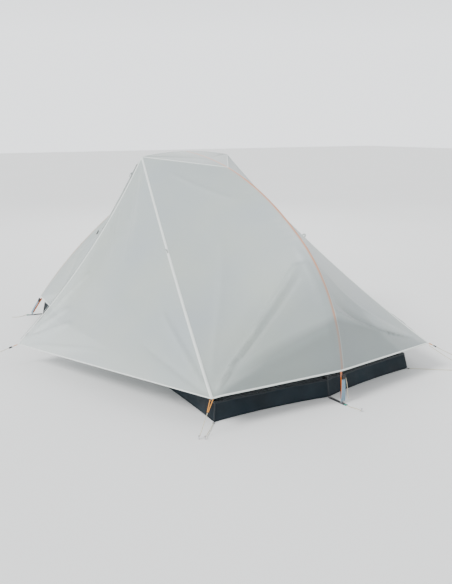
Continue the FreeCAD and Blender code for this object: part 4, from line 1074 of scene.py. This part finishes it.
def add_foot_straps():
    """At each pole foot: webbing on the ground from the floor, and a strap up to the fly's buckle."""
    feet = [("foot", place(0, -FOOT_BULGE - 0.002, 0), spine.at(0), spine.at(0.01) - spine.at(0))]
    for side, sign in SIDES:
        leg = legs[side]
        feet.append(("head_" + side, place(sign * (HEAD_HALF + 0.004), FLOOR_LENGTH + 0.004, 0),
                     leg.at(leg.length), leg.at(leg.length - 0.01) - leg.at(leg.length)))
    ground, upright = [], []
    for name, start, foot, direction in feet:
        foot, direction = foot * (1, 1, 0), unit(direction)
        outward = unit((foot - start) * (1, 1, 0))
        across = unit(np.cross(direction, outward))
        clear = np.cross(across, direction)
        end = foot + outward * 0.024
        route = steps_between(start + UP * 0.0014, end + UP * 0.0014, count=9)
        ground.append(add_strap(name + "_ground_webbing", route, 0.018, TAPE, UP, "webbing_dark"))
        route = steps_between(end - outward * 0.001 + UP * 0.0024, end + outward * 0.011 + UP * 0.002, count=4)
        add_strap(name + "_webbing_tab", route, 0.014, 0.0034, UP, "webbing_teal")
        beside = foot + clear * 0.0103
        low, high = beside + direction * 0.012, beside + direction * (STRAP_TOP - 0.002)
        upright.append(add_strap(name + "_strap", steps_between(low, high, clear * 0.0015), STRAP_WIDTHS, TAPE,
                                 clear, "webbing_blue"))
        stitches(name + "_strap_stitches", low + direction * 0.008 + clear * 0.001, direction, across,
                 (0.008, 0.010), 4, "webbing_pale")
    for side, sign in SIDES:
        start = place(sign * (FOOT_HALF + 0.001), -0.001, 0.0014)
        end = place(*CORD_ROUTES["guyline_floor_" + side][0])
        add_strap("floor_corner_webbing_" + side, steps_between(start, end - (end - start) * 0.08),
                  0.009, TAPE, UP, "webbing_dark")
    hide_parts("floor_webbing")
    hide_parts("fly_straps")


def add_corner_webbing():
    """Orange webbing: a narrow V at each foot corner, and a loop at each vestibule tip."""
    for side, sign in SIDES:
        end = place(*CORD_ROUTES["guyline_corner_" + side][0])
        drop = end - corner[side]
        spread = np.array([0.005, sign * 0.003, 0])
        for k, shift in enumerate((spread, -spread)):
            route = steps_between(corner[side] + drop * 0.02 + shift, corner[side] + drop * 0.97 + shift * 0.3)
            add_strap("corner_webbing_%s_%d" % (side, k), route, 0.0034, 0.0012, (sign, -1, 0.5),
                                  "webbing_orange")
        run = np.array([sign * 0.021, 0.002, -0.006])
        route = steps_between(tip[side], tip[side] + run * 0.97)
        add_strap("tip_webbing_" + side, route, 0.009, 0.0014, UP, "webbing_orange")
    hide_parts("corner_webbing")


def add_guyout_loops():
    """A small sewn loop of pale tape halfway down each foot seam."""
    for side, sign in SIDES:
        seam = foot_seam(side, sign)
        base, along = seam(0.44), unit(seam(0.46) - seam(0.44))
        out = unit(np.array([sign, -0.9, 0.5]))
        out = unit(out - along * (out @ along))
        route = [base + along * 0.008 * math.cos(angle) + out * (0.0012 + 0.011 * max(0, math.sin(angle)))
                 for angle in np.linspace(-0.15, math.pi + 0.15, 24)]
        add_strap("guyout_loop_" + side, route, 0.009, 0.0012, np.cross(along, out) + out * 0.001,
                              "webbing_pale")
        add_strap("guyout_patch_" + side, steps_between(base - along * 0.016, base + along * 0.016), 0.014, 0.0012,
                  out, "webbing_pale")
    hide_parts("guyout_loops")


def add_toggle_tabs():
    """A tab of webbing sewn to each gore, doubled under the toggle's post."""
    for side, sign in SIDES:
        low, high = (np.array(c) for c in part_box("door_toggle_" + side))
        middle = (low + high) / 2
        top, foot = peak[side], door_foot[side]
        edge = unit(foot - top)
        inward = leg_line(side)(0.5) - (top + (foot - top) * 0.49)
        normal = unit(np.cross(edge, inward))
        normal = normal if normal[0] * sign > 0 else -normal
        base = middle - normal * 0.006
        add_strap("toggle_tab_" + side, steps_between(base - edge * 0.012, base + edge * 0.012,
                                                                  normal * -0.001), 0.010, 0.0014, normal,
                              "webbing_pale")
        sideways = np.cross(normal, edge)
        post = [[base + normal * height + (edge * math.cos(a) + sideways * math.sin(a)) * size
                 for a in np.linspace(0, math.tau, 16, endpoint=False)]
                for height, size in ((0.0, 0.0028), (0.0015, 0.00155), (0.0075, 0.00155), (0.0090, 0.0024))]
        strip("toggle_post_" + side, post, "webbing_pale", closed=True)
    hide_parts("toggle_tabs")


COIL_RIBS = 1500
COIL_FROM, COIL_TO = 0.05, 0.975         # shares of the ridge


def add_zip_coils():
    """The zip's coil along each ridge: a rod whose teeth are ribs across it."""
    for side, sign in SIDES:
        line = ridge(side, sign)
        shift = np.array([sign * 0.003, 0.0055, 0.003])
        rings = []
        for k in range(COIL_RIBS):
            t = COIL_FROM + (COIL_TO - COIL_FROM) * k / (COIL_RIBS - 1)
            p, ahead = line(t) + shift, unit(line(min(t + 0.002, 1)) - line(t - 0.002))
            across = unit(np.cross(ahead, UP))
            rise = np.cross(across, ahead)
            size = 0.00135 + 0.0003 * (1 if k % 2 else -1)
            rings.append([p + (across * math.cos(a) * 1.15 + rise * math.sin(a) * 0.8) * size
                          for a in np.linspace(0, math.tau, 8, endpoint=False)])
        strip("zip_coil_" + side, rings, "zip_coil", closed=True)
    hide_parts("zip_chains")


add_foot_straps()
add_corner_webbing()
add_guyout_loops()
add_toggle_tabs()
add_zip_coils()

# ---------------------------------------------------------------- stage

STUDIO_HALF = 30.0            # half the width of the studio's floor


def add_floor():
    """A plain pale floor, which belongs to the stage and not to the tent."""
    made = Nodes("studio_floor", linear(240, 240, 239), 0.8)
    made.colour(made.mix(made.noise(0.8), linear(238, 239, 238), linear(243, 243, 242)))
    MATERIALS["studio_floor"] = made.material
    corners = [(x * STUDIO_HALF, y * STUDIO_HALF, 0) for x, y in ((-1, -1), (1, -1), (1, 1), (-1, 1))]
    floor = add_mesh("studio_floor", corners, [(0, 1, 2, 3)], "studio_floor", smooth=False)


def add_light(name, kind, place_at, energy, size, aim=(0, 0, 0.4)):
    """A lamp aimed at the tent; size is metres for an area lamp and an angle for a sun."""
    data = bpy.data.lights.new(name, kind)
    data.energy = energy
    if kind == "AREA":
        data.size = size
    else:
        data.angle = size
    light = bpy.data.objects.new(name, data)
    light.location = place_at
    light.rotation_euler = (Vector(aim) - Vector(place_at)).to_track_quat("-Z", "Y").to_euler()
    bpy.context.scene.collection.objects.link(light)


def add_lights():
    """A bright band round the horizon under a dimmer dome, and three soft lamps."""
    world = bpy.data.worlds.new("studio")
    bpy.context.scene.world = world
    world.use_nodes = True
    nodes, links = world.node_tree.nodes, world.node_tree.links
    background = nodes["Background"]
    coordinates = nodes.new("ShaderNodeTexCoord")
    separate = nodes.new("ShaderNodeSeparateXYZ")
    links.new(coordinates.outputs["Generated"], separate.inputs[0])
    band = nodes.new("ShaderNodeMapRange")
    for key, value in (("From Min", 0.12), ("From Max", 0.42), ("To Min", 2.15), ("To Max", 0.95)):
        band.inputs[key].default_value = value
    links.new(separate.outputs["Z"], band.inputs["Value"])
    links.new(band.outputs[0], background.inputs["Strength"])
    background.inputs["Color"].default_value = (0.95, 0.975, 1.0, 1.0)
    add_light("key", "SUN", (-3.6, -0.2, 3.6), 3.6, 0.35)
    add_light("fill", "AREA", (3.5, -4.5, 3.0), 40.0, 4.0)
    add_light("back", "AREA", (2.5, 4.5, 4.0), 90.0, 3.0)


add_floor()
add_lights()
